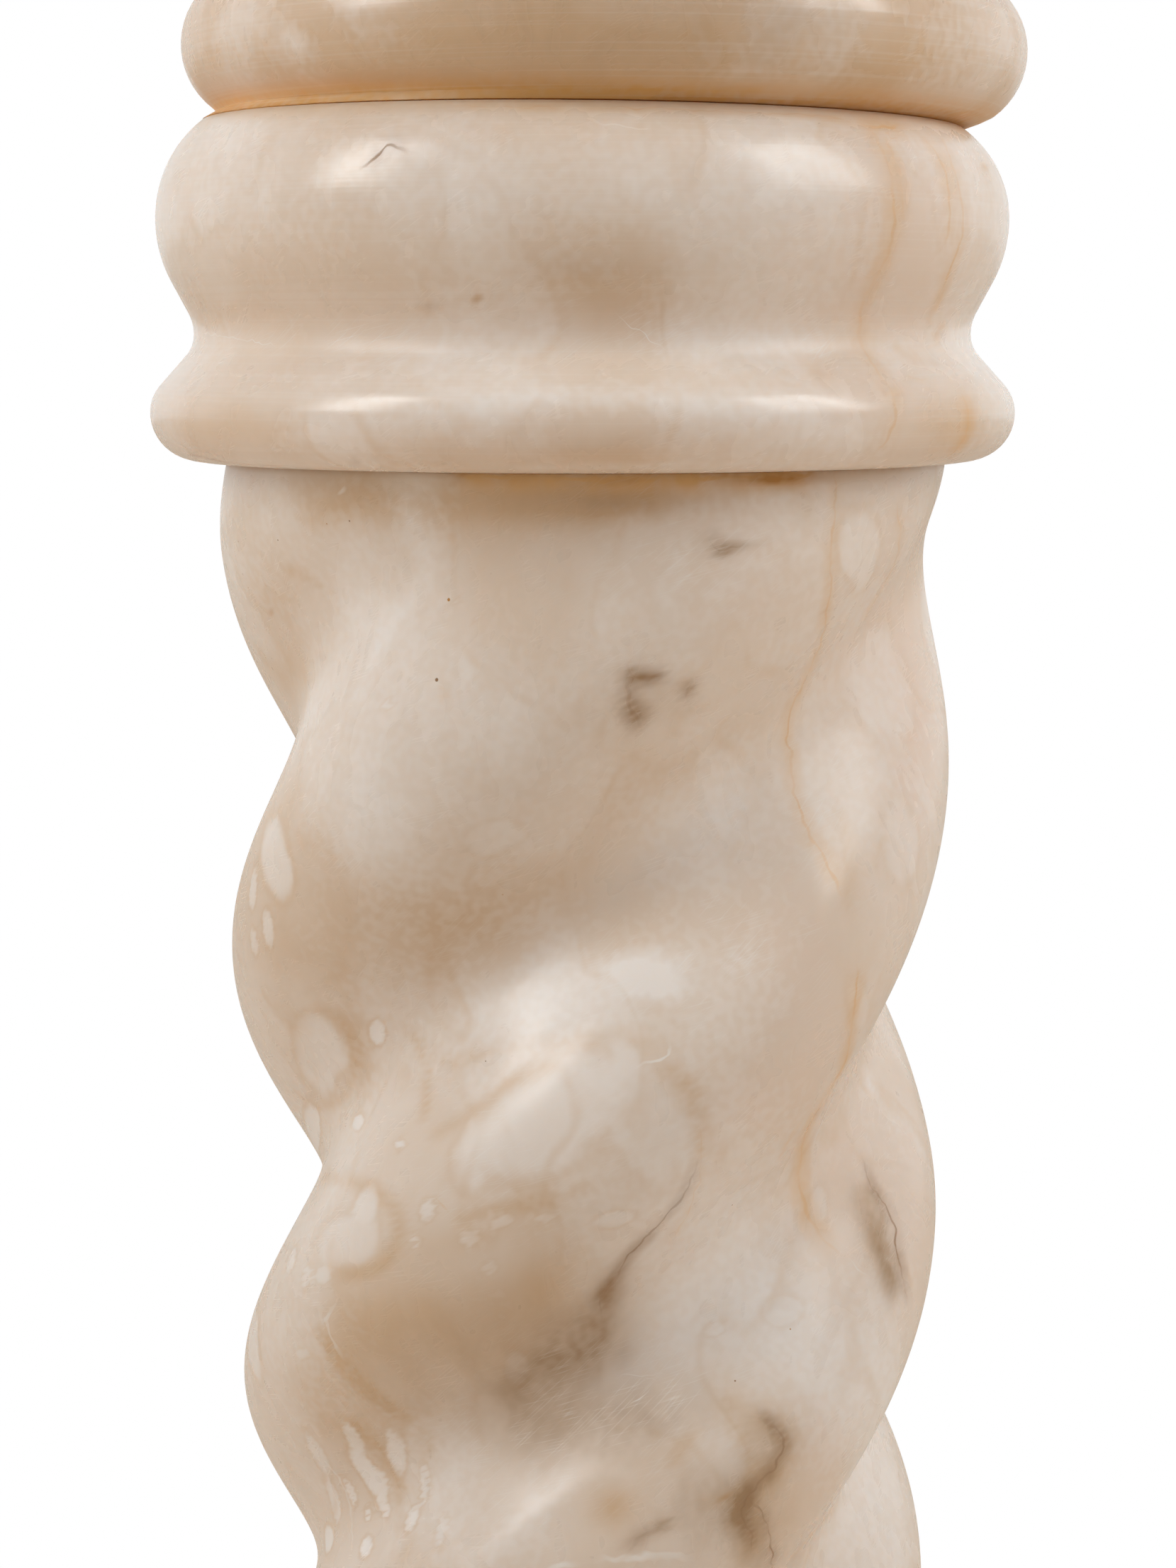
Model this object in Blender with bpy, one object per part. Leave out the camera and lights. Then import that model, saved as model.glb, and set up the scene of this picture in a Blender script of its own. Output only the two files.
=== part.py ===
# Alabaster column: a shaft of three twisted strands between two turned collars,
# with a turned capital above and a round foot below.
# Metres, +Z up, origin at the middle of the underside. The front faces -Y.
import math

import bmesh
import bpy

for old in list(bpy.data.objects):
    bpy.data.objects.remove(old, do_unlink=True)

# How the pieces meet and how finely they are faceted
JOINT_GAP = 0.0003          # bed between two pieces that rest on each other
TURNED_SIDES = 36           # sides of each turned piece
ARC_STEP_DEG = 30.0         # longest step along a rounded moulding
SHAFT_SIDES = 60            # sides of the shaft
SHAFT_ROWS = 40             # rows of faces along the shaft
ROW_TWIST_SHARE = 0.5       # part of the twist that the rows of faces follow
SMOOTH_UP_TO_DEG = 40.0     # edges sharper than this stay crisp

# Twisted shaft
SHAFT_LENGTH = 0.620
SHAFT_RADIUS = 0.0758       # near the ends, where the grooves have run out
SHAFT_WAIST = 0.0046        # how much slimmer it is at mid length
END_DROP = 0.0021           # rounding in of the very end
END_DROP_LENGTH = 0.020
TWIST_TURNS = 2.36          # right-handed, over the whole length
TWIST_SLOWING = 0.149       # share by which the twist is slower at the ends
TWIST_START_DEG = 69.0      # where the first strand crests at the top
GROOVE_FADE_LENGTH = 0.0697  # over which the grooves run out into each round end
GROOVE_SHARPNESS = 6.36     # higher is a narrower groove
# Each strand: how far its centre lies off the axis and how far it swells past the
# shaft, as shares of the shaft's radius, and its turn off an even spacing in degrees.
# The three differ a little, as the strands were carved by eye.
STRANDS = (
    (0.406, 0.0137, 1.6),
    (0.401, 0.0208, 2.7),
    (0.446, 0.0078, 0.0),
)

# Collar: ring, hollow and belly, counted from the face that meets the shaft
RING_RADIUS = 0.0881
RING_ARC_AT_FACE = 0.0094
RING_ARC_AT_HOLLOW = 0.0084
HOLLOW_DEPTH = 0.0091       # below the ring's crest
HOLLOW_RISE = 0.0158        # from the ring's crest to the bottom of the hollow
HOLLOW_ARC_AT_RING = 0.0064
HOLLOW_ARC_AT_BELLY = 0.0090
BELLY_RADIUS = 0.08635
BELLY_RISE = 0.0226         # from the bottom of the hollow to the belly's crest
BELLY_ARC_AT_HOLLOW = 0.0262
SHOULDER_ARC = 0.0233
SHOULDER_RISE = 0.0188      # from the belly's crest to the far face
NECK_COLLAR_SHIFT = -0.0008  # sideways, off the shaft's axis

# Capital: bead, neck, flare and round slab, counted from its bed on the neck collar
CAPITAL_SHIFT = 0.0034      # sideways, off the shaft's axis
CAPITAL_LEAN_DEG = 0.6      # down to the right, together with its bed
CAPITAL_BEAD_RADIUS = 0.0850
CAPITAL_BEAD_ARC = 0.0148
NECK_RADIUS = 0.0765
NECK_RISE = 0.0180          # from the bead's crest to the narrowest of the neck
NECK_ARC = 0.0050
FLARE_ARC = 0.0300
FLARE_DEG = 72.0
CAPITAL_SLAB_RADIUS = 0.1200
CAPITAL_SLAB_THICKNESS = 0.0300
CAPITAL_SLAB_ROUNDING = 0.0050

# Foot: slab, bead and hollow, counted from the underside
FOOT_SLAB_RADIUS = 0.1250
FOOT_SLAB_THICKNESS = 0.0380
FOOT_SLAB_ROUNDING = 0.0050
FOOT_BEAD_RADIUS = 0.1130
FOOT_BEAD_ARC = 0.0165
FOOT_HOLLOW_RADIUS = 0.0800
FOOT_HOLLOW_RISE = 0.0440   # from the bead's crest to the bed of the base collar
FOOT_HOLLOW_ARC = 0.0300

# Heights that follow from the sizes above
COLLAR_HEIGHT = RING_ARC_AT_FACE + HOLLOW_RISE + BELLY_RISE + SHOULDER_RISE
FOOT_HEIGHT = FOOT_SLAB_THICKNESS + FOOT_BEAD_ARC + FOOT_HOLLOW_RISE
BASE_COLLAR_TOP = FOOT_HEIGHT + JOINT_GAP + COLLAR_HEIGHT
SHAFT_FOOT = BASE_COLLAR_TOP + JOINT_GAP
NECK_COLLAR_FOOT = SHAFT_FOOT + SHAFT_LENGTH + JOINT_GAP
CAPITAL_BED = NECK_COLLAR_FOOT + COLLAR_HEIGHT + JOINT_GAP
CAPITAL_LEAN = math.radians(CAPITAL_LEAN_DEG)
BEAD = 1
HOLLOW = -1
QUARTER_TURN = math.pi / 2
WELD_DISTANCE = 0.000001


def arc(crest, bulge, radius, start, end):
    """Outline points on an arc that has its crest at angle 0; a hollow's centre is outside."""
    steps = max(1, math.ceil(math.degrees(abs(end - start)) / ARC_STEP_DEG))
    points = []
    for step in range(steps + 1):
        angle = start + (end - start) * step / steps
        inward = bulge * radius * (1.0 - math.cos(angle))
        points.append((crest[0] - inward, crest[1] + radius * math.sin(angle)))
    return points


def touch_angle(lower, upper):
    """Angle off each crest where the straight line that touches both arcs leaves them."""
    lower_centre = lower[1][0] - lower[0] * lower[3]
    upper_centre = upper[1][0] - upper[0] * upper[2]
    across = abs(upper_centre - lower_centre)
    along = upper[1][1] - lower[1][1]
    apart = math.hypot(across, along)
    return math.atan2(along, across) - math.acos(min(1.0, (lower[3] + upper[2]) / apart))


def moulding(rounds, start, end):
    """Outline up through beads and hollows in turn, joined by straight lines that touch them.

    A round is (BEAD or HOLLOW, (radius, height) of its crest, arc below, arc above).
    """
    outline = []
    below = start
    for index, (bulge, crest, arc_below, arc_above) in enumerate(rounds):
        last = index == len(rounds) - 1
        above = end if last else touch_angle(rounds[index], rounds[index + 1])
        outline += arc(crest, bulge, arc_below, below, 0.0)
        outline += arc(crest, bulge, arc_above, 0.0, above)[1:]
        below = -above
    return outline


def slab(radius, bottom, thickness, rounding):
    """Outline of a round slab's edge, with both arrises rounded."""
    lower = arc((radius, bottom + rounding), BEAD, rounding, -QUARTER_TURN, 0.0)
    upper = arc((radius, bottom + thickness - rounding), BEAD, rounding, 0.0, QUARTER_TURN)
    return lower + upper


def collar_outline():
    """Outline of a collar, from the face that meets the shaft to the far face."""
    hollow_radius = RING_RADIUS - HOLLOW_DEPTH
    hollow_height = RING_ARC_AT_FACE + HOLLOW_RISE
    belly_height = hollow_height + BELLY_RISE
    rounds = (
        (BEAD, (RING_RADIUS, RING_ARC_AT_FACE), RING_ARC_AT_FACE, RING_ARC_AT_HOLLOW),
        (HOLLOW, (hollow_radius, hollow_height), HOLLOW_ARC_AT_RING, HOLLOW_ARC_AT_BELLY),
        (BEAD, (BELLY_RADIUS, belly_height), BELLY_ARC_AT_HOLLOW, SHOULDER_ARC),
    )
    shoulder_end = math.asin(min(1.0, SHOULDER_RISE / SHOULDER_ARC))
    return moulding(rounds, -QUARTER_TURN, shoulder_end)


def capital_outline():
    """Outline of the capital, from its bed to its top face."""
    bead_height = CAPITAL_BEAD_ARC - JOINT_GAP
    bead_start = -math.asin(bead_height / CAPITAL_BEAD_ARC)
    neck_height = bead_height + NECK_RISE
    flare = math.radians(FLARE_DEG)
    rounds = (
        (BEAD, (CAPITAL_BEAD_RADIUS, bead_height), CAPITAL_BEAD_ARC, CAPITAL_BEAD_ARC),
        (HOLLOW, (NECK_RADIUS, neck_height), NECK_ARC, FLARE_ARC),
    )
    slab_bottom = neck_height + FLARE_ARC * math.sin(flare)
    outline = moulding(rounds, bead_start, flare)
    return outline + slab(
        CAPITAL_SLAB_RADIUS, slab_bottom, CAPITAL_SLAB_THICKNESS, CAPITAL_SLAB_ROUNDING
    )


def foot_outline():
    """Outline of the foot, from its underside to the bed of the base collar."""
    bead_height = FOOT_SLAB_THICKNESS + FOOT_BEAD_ARC
    rounds = (
        (BEAD, (FOOT_BEAD_RADIUS, bead_height), FOOT_BEAD_ARC, FOOT_BEAD_ARC),
        (HOLLOW, (FOOT_HOLLOW_RADIUS, FOOT_HEIGHT), FOOT_HOLLOW_ARC, FOOT_HOLLOW_ARC),
    )
    edge = slab(FOOT_SLAB_RADIUS, 0.0, FOOT_SLAB_THICKNESS, FOOT_SLAB_ROUNDING)
    return edge + moulding(rounds, -QUARTER_TURN, 0.0)


def twist_angle(depth):
    """Turn of the strands at a depth below the shaft's top, slower near both ends."""
    share = depth / SHAFT_LENGTH
    eased = share - TWIST_SLOWING * math.sin(math.tau * share) / math.tau
    return -math.tau * TWIST_TURNS * eased


def shaft_radius(angle, depth):
    """Radius of the shaft: three round strands blended softly, run out into round ends."""
    share = depth / SHAFT_LENGTH
    from_end = min(depth, SHAFT_LENGTH - depth)
    drop = END_DROP * max(0.0, 1.0 - from_end / END_DROP_LENGTH) ** 2
    round_radius = SHAFT_RADIUS - SHAFT_WAIST * 4.0 * share * (1.0 - share) - drop
    grooved = math.sin(QUARTER_TURN * min(1.0, from_end / GROOVE_FADE_LENGTH))
    crest = twist_angle(depth) + math.radians(TWIST_START_DEG)
    blend = 0.0
    for number, (offset, swell, turn_deg) in enumerate(STRANDS):
        strand = 1.0 + swell - offset
        away = angle - crest - number * math.tau / len(STRANDS) - math.radians(turn_deg)
        side = offset * math.sin(away)
        reach = offset * math.cos(away) + math.sqrt(max(0.0, strand ** 2 - side ** 2))
        blend += math.exp(GROOVE_SHARPNESS * reach)
    union = math.log(blend) / GROOVE_SHARPNESS
    return round_radius * (1.0 - grooved * (1.0 - union))


def stone(name, colour, roughness):
    """Polished alabaster of one piece."""
    material = bpy.data.materials.new(name)
    material.use_nodes = True
    shader = material.node_tree.nodes["Principled BSDF"]
    shader.inputs["Base Color"].default_value = (*colour, 1.0)
    shader.inputs["Roughness"].default_value = roughness
    shader.inputs["Metallic"].default_value = 0.0
    return material


def add_piece(name, form, colour, roughness):
    """Object from a bmesh, shaded smooth over its rounds."""
    mesh = bpy.data.meshes.new(name)
    form.to_mesh(mesh)
    form.free()
    mesh.shade_smooth()
    mesh.set_sharp_from_angle(angle=math.radians(SMOOTH_UP_TO_DEG))
    mesh.materials.append(stone(name, colour, roughness))
    piece = bpy.data.objects.new(name, mesh)
    bpy.context.scene.collection.objects.link(piece)
    return piece


def turned(outline):
    """Solid turned about Z from an outline that runs up its side, closed flat at both ends."""
    form = bmesh.new()
    points = [(0.0, outline[0][1]), *outline, (0.0, outline[-1][1])]
    side = [form.verts.new((radius, 0.0, height)) for radius, height in points]
    edges = [form.edges.new(pair) for pair in zip(side, side[1:])]
    bmesh.ops.spin(
        form, geom=side + edges, axis=(0.0, 0.0, 1.0), cent=(0.0, 0.0, 0.0),
        angle=math.tau, steps=TURNED_SIDES,
    )
    bmesh.ops.remove_doubles(form, verts=form.verts, dist=WELD_DISTANCE)
    bmesh.ops.recalc_face_normals(form, faces=form.faces)
    return form


def lean_shoulder(form):
    """Tip a collar's far face to the lean, drawing the shoulder below it along."""
    crest_height = COLLAR_HEIGHT - SHOULDER_RISE
    for vertex in form.verts:
        share = max(0.0, vertex.co.z - crest_height) / SHOULDER_RISE
        vertex.co.z -= share * math.tan(CAPITAL_LEAN) * vertex.co.x


def twisted():
    """Solid shaft, standing on Z = 0, whose rows of faces lean with the strands."""
    form = bmesh.new()
    rows = []
    for row in range(SHAFT_ROWS + 1):
        depth = SHAFT_LENGTH * row / SHAFT_ROWS
        ring = []
        for side in range(SHAFT_SIDES):
            angle = math.tau * side / SHAFT_SIDES + ROW_TWIST_SHARE * twist_angle(depth)
            radius = shaft_radius(angle, depth)
            place = (radius * math.cos(angle), radius * math.sin(angle), SHAFT_LENGTH - depth)
            ring.append(form.verts.new(place))
        rows.append(ring)
    for upper, lower in zip(rows, rows[1:]):
        for side in range(SHAFT_SIDES):
            ahead = (side + 1) % SHAFT_SIDES
            form.faces.new((upper[side], lower[side], upper[ahead]))
            form.faces.new((lower[side], lower[ahead], upper[ahead]))
    form.faces.new(rows[0])
    form.faces.new(list(reversed(rows[-1])))
    return form


foot = add_piece("foot", turned(foot_outline()), (0.70, 0.57, 0.44), 0.30)

base_collar = add_piece("base_collar", turned(collar_outline()), (0.72, 0.58, 0.46), 0.28)
base_collar.rotation_euler = (math.pi, 0.0, 0.0)
base_collar.location = (0.0, 0.0, BASE_COLLAR_TOP)

shaft = add_piece("twisted_shaft", twisted(), (0.68, 0.54, 0.42), 0.34)
shaft.location = (0.0, 0.0, SHAFT_FOOT)

neck_form = turned(collar_outline())
lean_shoulder(neck_form)
neck_collar = add_piece("neck_collar", neck_form, (0.70, 0.56, 0.43), 0.28)
neck_collar.location = (NECK_COLLAR_SHIFT, 0.0, NECK_COLLAR_FOOT)

capital = add_piece("capital", turned(capital_outline()), (0.70, 0.55, 0.42), 0.30)
bed_drop = math.tan(CAPITAL_LEAN) * (CAPITAL_SHIFT - NECK_COLLAR_SHIFT)
capital.location = (CAPITAL_SHIFT, 0.0, CAPITAL_BED - bed_drop)
capital.rotation_euler = (0.0, CAPITAL_LEAN, 0.0)
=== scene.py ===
import math

import bpy
import numpy as np
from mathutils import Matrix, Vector
from mathutils.bvhtree import BVHTree


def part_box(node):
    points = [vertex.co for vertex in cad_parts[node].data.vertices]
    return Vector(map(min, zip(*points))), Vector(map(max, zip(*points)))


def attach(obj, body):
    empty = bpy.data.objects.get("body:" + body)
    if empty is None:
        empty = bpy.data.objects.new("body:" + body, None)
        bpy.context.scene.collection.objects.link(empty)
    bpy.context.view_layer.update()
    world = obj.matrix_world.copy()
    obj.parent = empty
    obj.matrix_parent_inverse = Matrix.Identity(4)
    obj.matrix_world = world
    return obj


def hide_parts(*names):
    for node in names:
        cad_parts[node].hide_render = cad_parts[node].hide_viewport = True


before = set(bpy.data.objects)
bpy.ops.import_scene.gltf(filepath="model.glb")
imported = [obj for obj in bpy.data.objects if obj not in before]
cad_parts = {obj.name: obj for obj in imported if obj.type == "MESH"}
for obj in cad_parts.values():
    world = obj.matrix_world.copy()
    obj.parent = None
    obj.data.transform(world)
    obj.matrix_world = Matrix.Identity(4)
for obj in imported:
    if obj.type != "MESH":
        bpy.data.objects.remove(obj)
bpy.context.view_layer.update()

# The foot
# A round slab of alabaster with a bead and a hollow above it, turned as one piece.
# It rests on the floor by its own weight and carries the base collar on its flat bed.
foot_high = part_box("foot")[1]
FOOT_SIDES = 280
FOOT_GRID = 0.0024
FOOT_SLAB_RADIUS = foot_high.x
FOOT_SLAB_THICKNESS = 0.0380
FOOT_SLAB_ROUNDING = 0.0050
FOOT_BEAD_RADIUS = 0.1130
FOOT_BEAD_ARC = 0.0165
FOOT_HOLLOW_RADIUS = 0.0800
FOOT_HOLLOW_ARC = 0.0300
FOOT_SEED = 31
FOOT_UNEVENNESS = (0.0003, 0.045)
QUARTER_TURN = math.pi / 2
TURN = 2 * math.pi
BEAD = 1
HOLLOW = -1
MM = 0.001
ARC_STEPS = 25
AXIS_HOLE = 0.002
LATTICE = 32
LATTICE_MIDDLE = 1000.5
CREASE = math.radians(50)
LEAST_REACH = 0.03


def arc(crest, bulge, radius, start, end):
    """Circle arc in (radius, height): out by radius times cosine, up by radius times sine."""
    angle = np.linspace(start, end, ARC_STEPS)
    out = crest[0] - bulge * radius * (1 - np.cos(angle))
    return np.stack([out, crest[1] + radius * np.sin(angle)], 1)


def touch_angle(lower, upper):
    """Slope of the line that touches one crest's upper arc and the next one's lower arc."""
    across = abs(upper[1][0] - upper[0] * upper[2] - lower[1][0] + lower[0] * lower[3])
    along = upper[1][1] - lower[1][1]
    reach = (lower[3] + upper[2]) / math.hypot(across, along)
    return math.atan2(along, across) - math.acos(min(1.0, reach))


def moulding(rounds, start, end):
    """Outline up beads and hollows: (kind, (radius, height) of crest, arc below, arc above)."""
    outline = []
    below = start
    for index, (bulge, crest, arc_below, arc_above) in enumerate(rounds):
        last = index == len(rounds) - 1
        above = end if last else touch_angle(rounds[index], rounds[index + 1])
        outline += [arc(crest, bulge, arc_below, below, 0), arc(crest, bulge, arc_above, 0, above)]
        below = -above
    return np.concatenate(outline)


def slab(radius, bottom, thickness, rounding):
    """Outline of a round slab's edge: a quarter circle, a straight side, a quarter circle."""
    lower = arc((radius, bottom + rounding), BEAD, rounding, -QUARTER_TURN, 0)
    top = bottom + thickness
    return np.concatenate([lower, arc((radius, top - rounding), BEAD, rounding, 0, QUARTER_TURN)])


def spaced(outline, step):
    """The outline closed to the axis at both ends and walked along in even steps."""
    points = np.concatenate([[[AXIS_HOLE, outline[0][1]]], outline, [[AXIS_HOLE, outline[-1][1]]]])
    walked = np.concatenate([[0], np.cumsum(np.hypot(*np.diff(points, axis=0).T))])
    marks = np.linspace(0, walked[-1], int(walked[-1] / step))
    return np.stack([np.interp(marks, walked, column) for column in points.T], 1)


def on_lathe(profile, angle, row):
    """Point of a turned surface: the profile's radius and height at a row, carried round."""
    rows = np.arange(len(profile))
    out = np.interp(row, rows, profile[:, 0])
    up = np.interp(row, rows, profile[:, 1])
    return np.stack([out * np.cos(angle), out * np.sin(angle), up], -1)


def turned(profile, sides):
    """Rings of points of a turned surface, one ring for each row of the profile."""
    row, side = np.meshgrid(np.arange(len(profile)), np.arange(sides), indexing="ij")
    return on_lathe(profile, side * TURN / sides, row)


def cloud(points, size, seed):
    """Smooth noise from -1 to 1: random values on a cubic lattice of one size, eased between."""
    lattice = np.random.default_rng(seed).uniform(-1, 1, (LATTICE, LATTICE, LATTICE))
    place = points / size + LATTICE_MIDDLE
    cell = np.floor(place).astype(int)
    ease = place - cell
    ease = ease * ease * (3 - 2 * ease)
    total = np.zeros(points.shape[:-1])
    for corner in range(8):
        step = np.array([corner & 1, corner >> 1 & 1, corner >> 2 & 1])
        weight = np.prod(np.where(step, ease, 1 - ease), -1)
        x, y, z = np.moveaxis((cell + step) % LATTICE, -1, 0)
        total += weight * lattice[x, y, z]
    return total


def uneven(rings, depth, size, seed):
    """Rings pulled towards the axis by up to a depth, by smooth noise, as hand work leaves them."""
    out = np.hypot(rings[..., 0], rings[..., 1]).clip(LEAST_REACH)
    share = 1 - depth * (0.5 + 0.5 * cloud(rings, size, seed)) / out
    return rings * np.stack([share, share, np.ones_like(share)], -1)


def skin(name, rings):
    """Closed mesh through rings of points, bottom ring first, each end closed by a small fan."""
    rows, sides, _ = rings.shape
    ends = np.stack([rings[0].mean(0), rings[-1].mean(0)])
    points = np.concatenate([rings.reshape(-1, 3), ends])
    row, side = np.meshgrid(np.arange(rows - 1), np.arange(sides), indexing="ij")
    ahead = (side + 1) % sides
    here = row * sides
    quads = np.stack([here + side, here + ahead, here + sides + ahead, here + sides + side], -1)
    one = np.arange(sides)
    two = (one + 1) % sides
    last = (rows - 1) * sides
    low = np.stack([np.full(sides, rows * sides), two, one], -1)
    high = np.stack([np.full(sides, rows * sides + 1), last + one, last + two], -1)
    corners = np.concatenate([quads.ravel(), low.ravel(), high.ravel()]).astype(np.int32)
    sizes = np.concatenate([np.full(quads.size // 4, 4), np.full(2 * sides, 3)])
    starts = np.concatenate([[0], np.cumsum(sizes)[:-1]]).astype(np.int32)
    mesh = bpy.data.meshes.new(name)
    mesh.vertices.add(len(points))
    mesh.vertices.foreach_set("co", points.astype(np.float32).ravel())
    mesh.loops.add(len(corners))
    mesh.loops.foreach_set("vertex_index", corners)
    mesh.polygons.add(len(sizes))
    mesh.polygons.foreach_set("loop_start", starts)
    mesh.update(calc_edges=True)
    mesh.validate()
    mesh.shade_smooth()
    mesh.set_sharp_from_angle(angle=CREASE)
    piece = bpy.data.objects.new(name, mesh)
    bpy.context.scene.collection.objects.link(piece)
    return piece


# The photograph's view, for placing the marks of the stone: the camera stands before the
# column, a little above the shaft's top, and looks down slightly.
shaft_low, shaft_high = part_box("twisted_shaft")
PHOTO_WIDTH = 1659
PHOTO_HEIGHT = 2212
FOCAL_PIXELS = 4500.0
CAMERA_DISTANCE = 0.6591
CAMERA_RISE = 0.0242
CAMERA_SIDE = 0.0003
CAMERA_PITCH = math.radians(7.913)
CURVE_STEPS = 7
LINE_REACH = 0.012
LINE_FADE = 4 * MM
BEND_SEEDS = (3, 4, 5)
BROAD_BEND = 1.6
BROAD_SIZE = 0.014
SMALL_BEND = 0.7
SMALL_SIZE = 0.005
SMALL_SEED = 9
SMALLEST_BENT = 5 * MM
OVAL_REACH = 6
TURNED_AWAY = 0.1
SUNK_AWAY = 0.04
SOFTNESS = 0.7
FAR_OFF = 60.0
PROBE_PIXELS = 20.0
CELL_LEVEL = 1.5
MILK_REACH = 2.2
WANDER_STEPS = 26
WANDER_START = 0.9
WANDER_DRIFT = 0.6
WANDER_SWAYS = ((1.3, 0.10), (3.1, 0.035))
VEIN_STRENGTH = (0.25, 0.65)
VEIN_WIDTH = (0.25, 0.45)
FISSURE_SHADE = 0.5
FISSURE_SHADE_WIDTH = 3 * MM
CELL_PROBE = 0.01
CELL_SIZE = (3, 11)
CELL_STRETCH = (1.2, 2.4)
CELL_TILT = (-0.7, 0.7)
CELL_MILK = (0.25, 0.6)
camera_place = Vector((CAMERA_SIDE, -CAMERA_DISTANCE, shaft_high.z + CAMERA_RISE))


def sight_line(pixel):
    """Direction of a photo pixel: its offset over the focal length, tipped down by the pitch."""
    right = (pixel[0] - PHOTO_WIDTH / 2) / FOCAL_PIXELS
    up = (PHOTO_HEIGHT / 2 - pixel[1]) / FOCAL_PIXELS
    ahead = Vector((0, math.cos(CAMERA_PITCH), -math.sin(CAMERA_PITCH)))
    above = Vector((0, math.sin(CAMERA_PITCH), math.cos(CAMERA_PITCH)))
    return (Vector((right, 0, 0)) + above * up + ahead).normalized()


def eased(corners):
    """Smooth curve through corners: each stretch is the cubic whose end slopes join the next."""
    corners = np.array(corners, float)
    first = 2 * corners[0] - corners[1]
    last = 2 * corners[-1] - corners[-2]
    before = np.concatenate([[first], corners, [last]])
    share = np.linspace(0, 1, CURVE_STEPS)[:-1, None]
    stretches = []
    for a, b, c, d in zip(before, before[1:], before[2:], before[3:]):
        turning = 2 * a - 5 * b + 4 * c - d + share * (3 * (b - c) + d - a)
        stretches.append(b + 0.5 * share * (c - a + share * turning))
    return np.concatenate(stretches + [corners[-1:]])


class Stone:
    """A piece's points and outward directions, with the colour marks that are laid on them."""

    CLEAR = 0.05

    def __init__(self, piece, surface):
        self.mesh = piece.data
        self.surface = surface
        self.measure()
        count = len(self.points)
        self.form = {"lift": np.zeros(count)}
        self.tone = {name: np.zeros(count) for name in ("tan", "pale", "pink", "smoke")}
        self.mark = {name: np.zeros(count) for name in ("cell", "milk", "stain_and_glow", "scratch")}
        blank = np.array([self.CLEAR, self.CLEAR, 0, MM])
        groups = ("gold", "gold_by", "crack", "crack_by", "scuff")
        self.lines = {name: np.tile(blank, (count, 1)) for name in groups}

    def measure(self):
        """Reads the points and their outward directions, and the shift that bends the ovals."""
        count = len(self.mesh.vertices)
        points = np.empty(count * 3, np.float32)
        outward = np.empty(count * 3, np.float32)
        self.mesh.vertices.foreach_get("co", points)
        self.mesh.vertices.foreach_get("normal", outward)
        self.points = points.reshape(-1, 3).astype(float)
        self.outward = outward.reshape(-1, 3).astype(float)
        faces = [tuple(face.vertices) for face in self.mesh.polygons]
        self.tree = BVHTree.FromPolygons(self.points.tolist(), faces)
        self.shift = self.bend(self.points)

    def bend(self, points):
        """Shift of points by smooth noise in two sizes, which makes the rim of an oval uneven."""
        shift = [BROAD_BEND * cloud(points, BROAD_SIZE, seed)
                 + SMALL_BEND * cloud(points, SMALL_SIZE, seed + SMALL_SEED)
                 for seed in BEND_SEEDS]
        return np.stack(shift, -1) * MM

    def reshape(self):
        """Moves the points outwards by the lift, in millimetres."""
        moved = self.points + self.outward * self.form["lift"][:, None] * MM
        self.mesh.vertices.foreach_set("co", moved.astype(np.float32).ravel())
        self.mesh.update()
        self.measure()

    def seen(self, pixel):
        """Place on the stone where the sight line of a photo pixel first meets it."""
        place = self.tree.ray_cast(camera_place, sight_line(pixel))[0]
        return None if place is None else np.array(place)

    def trail(self, pixels):
        """Path on the stone under a curve through photo pixels."""
        places = [self.seen(pixel) for pixel in eased(pixels)]
        return np.array([place for place in places if place is not None])

    def oval(self, centre, across, up):
        """Radius from a centre in units of two half axes, made large on the stone's far side."""
        normal = np.cross(across, up)
        normal /= np.linalg.norm(normal)
        size = math.sqrt(np.linalg.norm(across) * np.linalg.norm(up))
        reach = OVAL_REACH * max(np.linalg.norm(across), np.linalg.norm(up))
        near = np.flatnonzero(np.abs(self.points - centre).max(1) < reach)
        away = np.full(len(self.points), FAR_OFF)
        bent = (self.shift[near] - self.bend(centre)) * min(1.0, size / SMALLEST_BENT)
        offset = self.points[near] - centre + bent
        shares = offset @ np.linalg.inv(np.stack([across, up, normal]))
        turned_off = np.clip(-TURNED_AWAY - self.outward[near] @ normal, 0, 1)
        sunk = np.clip(np.abs(shares[:, 2]) - SUNK_AWAY, 0, 1)
        away[near] = np.hypot(shares[:, 0], shares[:, 1]) + FAR_OFF * (turned_off + sunk)
        return away

    def photo_oval(self, spot):
        """The oval under a photo ellipse: centre, half axes in pixels, turn in degrees."""
        u, v, across, up, turn = spot
        cosine = math.cos(math.radians(turn))
        sine = math.sin(math.radians(turn))
        centre = self.seen((u, v))
        if centre is None:
            return None
        axes = []
        for size, du, dv in ((across, cosine, -sine), (up, -sine, -cosine)):
            reach = min(size, PROBE_PIXELS)
            steps = []
            for side in (1, -1):
                place = self.seen((u + side * reach * du, v + side * reach * dv))
                if place is not None:
                    steps.append((place - centre) * side * size / reach)
            if steps:
                axes.append(min(steps, key=np.linalg.norm))
        return self.oval(centre, *axes) if len(axes) == 2 else None

    def soft(self, store, name, spots):
        """Adds soft spots: amount times e to the minus softness times the squared oval radius."""
        for *spot, amount in spots:
            away = self.photo_oval(spot)
            if away is not None:
                store[name] += amount * np.exp(-SOFTNESS * away ** 2)

    def lay_cell(self, away, amount):
        """Lays a pale cell: the cell level less the oval radius, so its rim is at a half."""
        level = np.clip(CELL_LEVEL - away, 0, 1)
        inside = level > self.mark["cell"]
        self.mark["cell"] = np.where(inside, level, self.mark["cell"])
        near = np.clip(MILK_REACH - away, 0, 1)
        self.mark["milk"] = np.where(inside, amount * near, self.mark["milk"])

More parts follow.
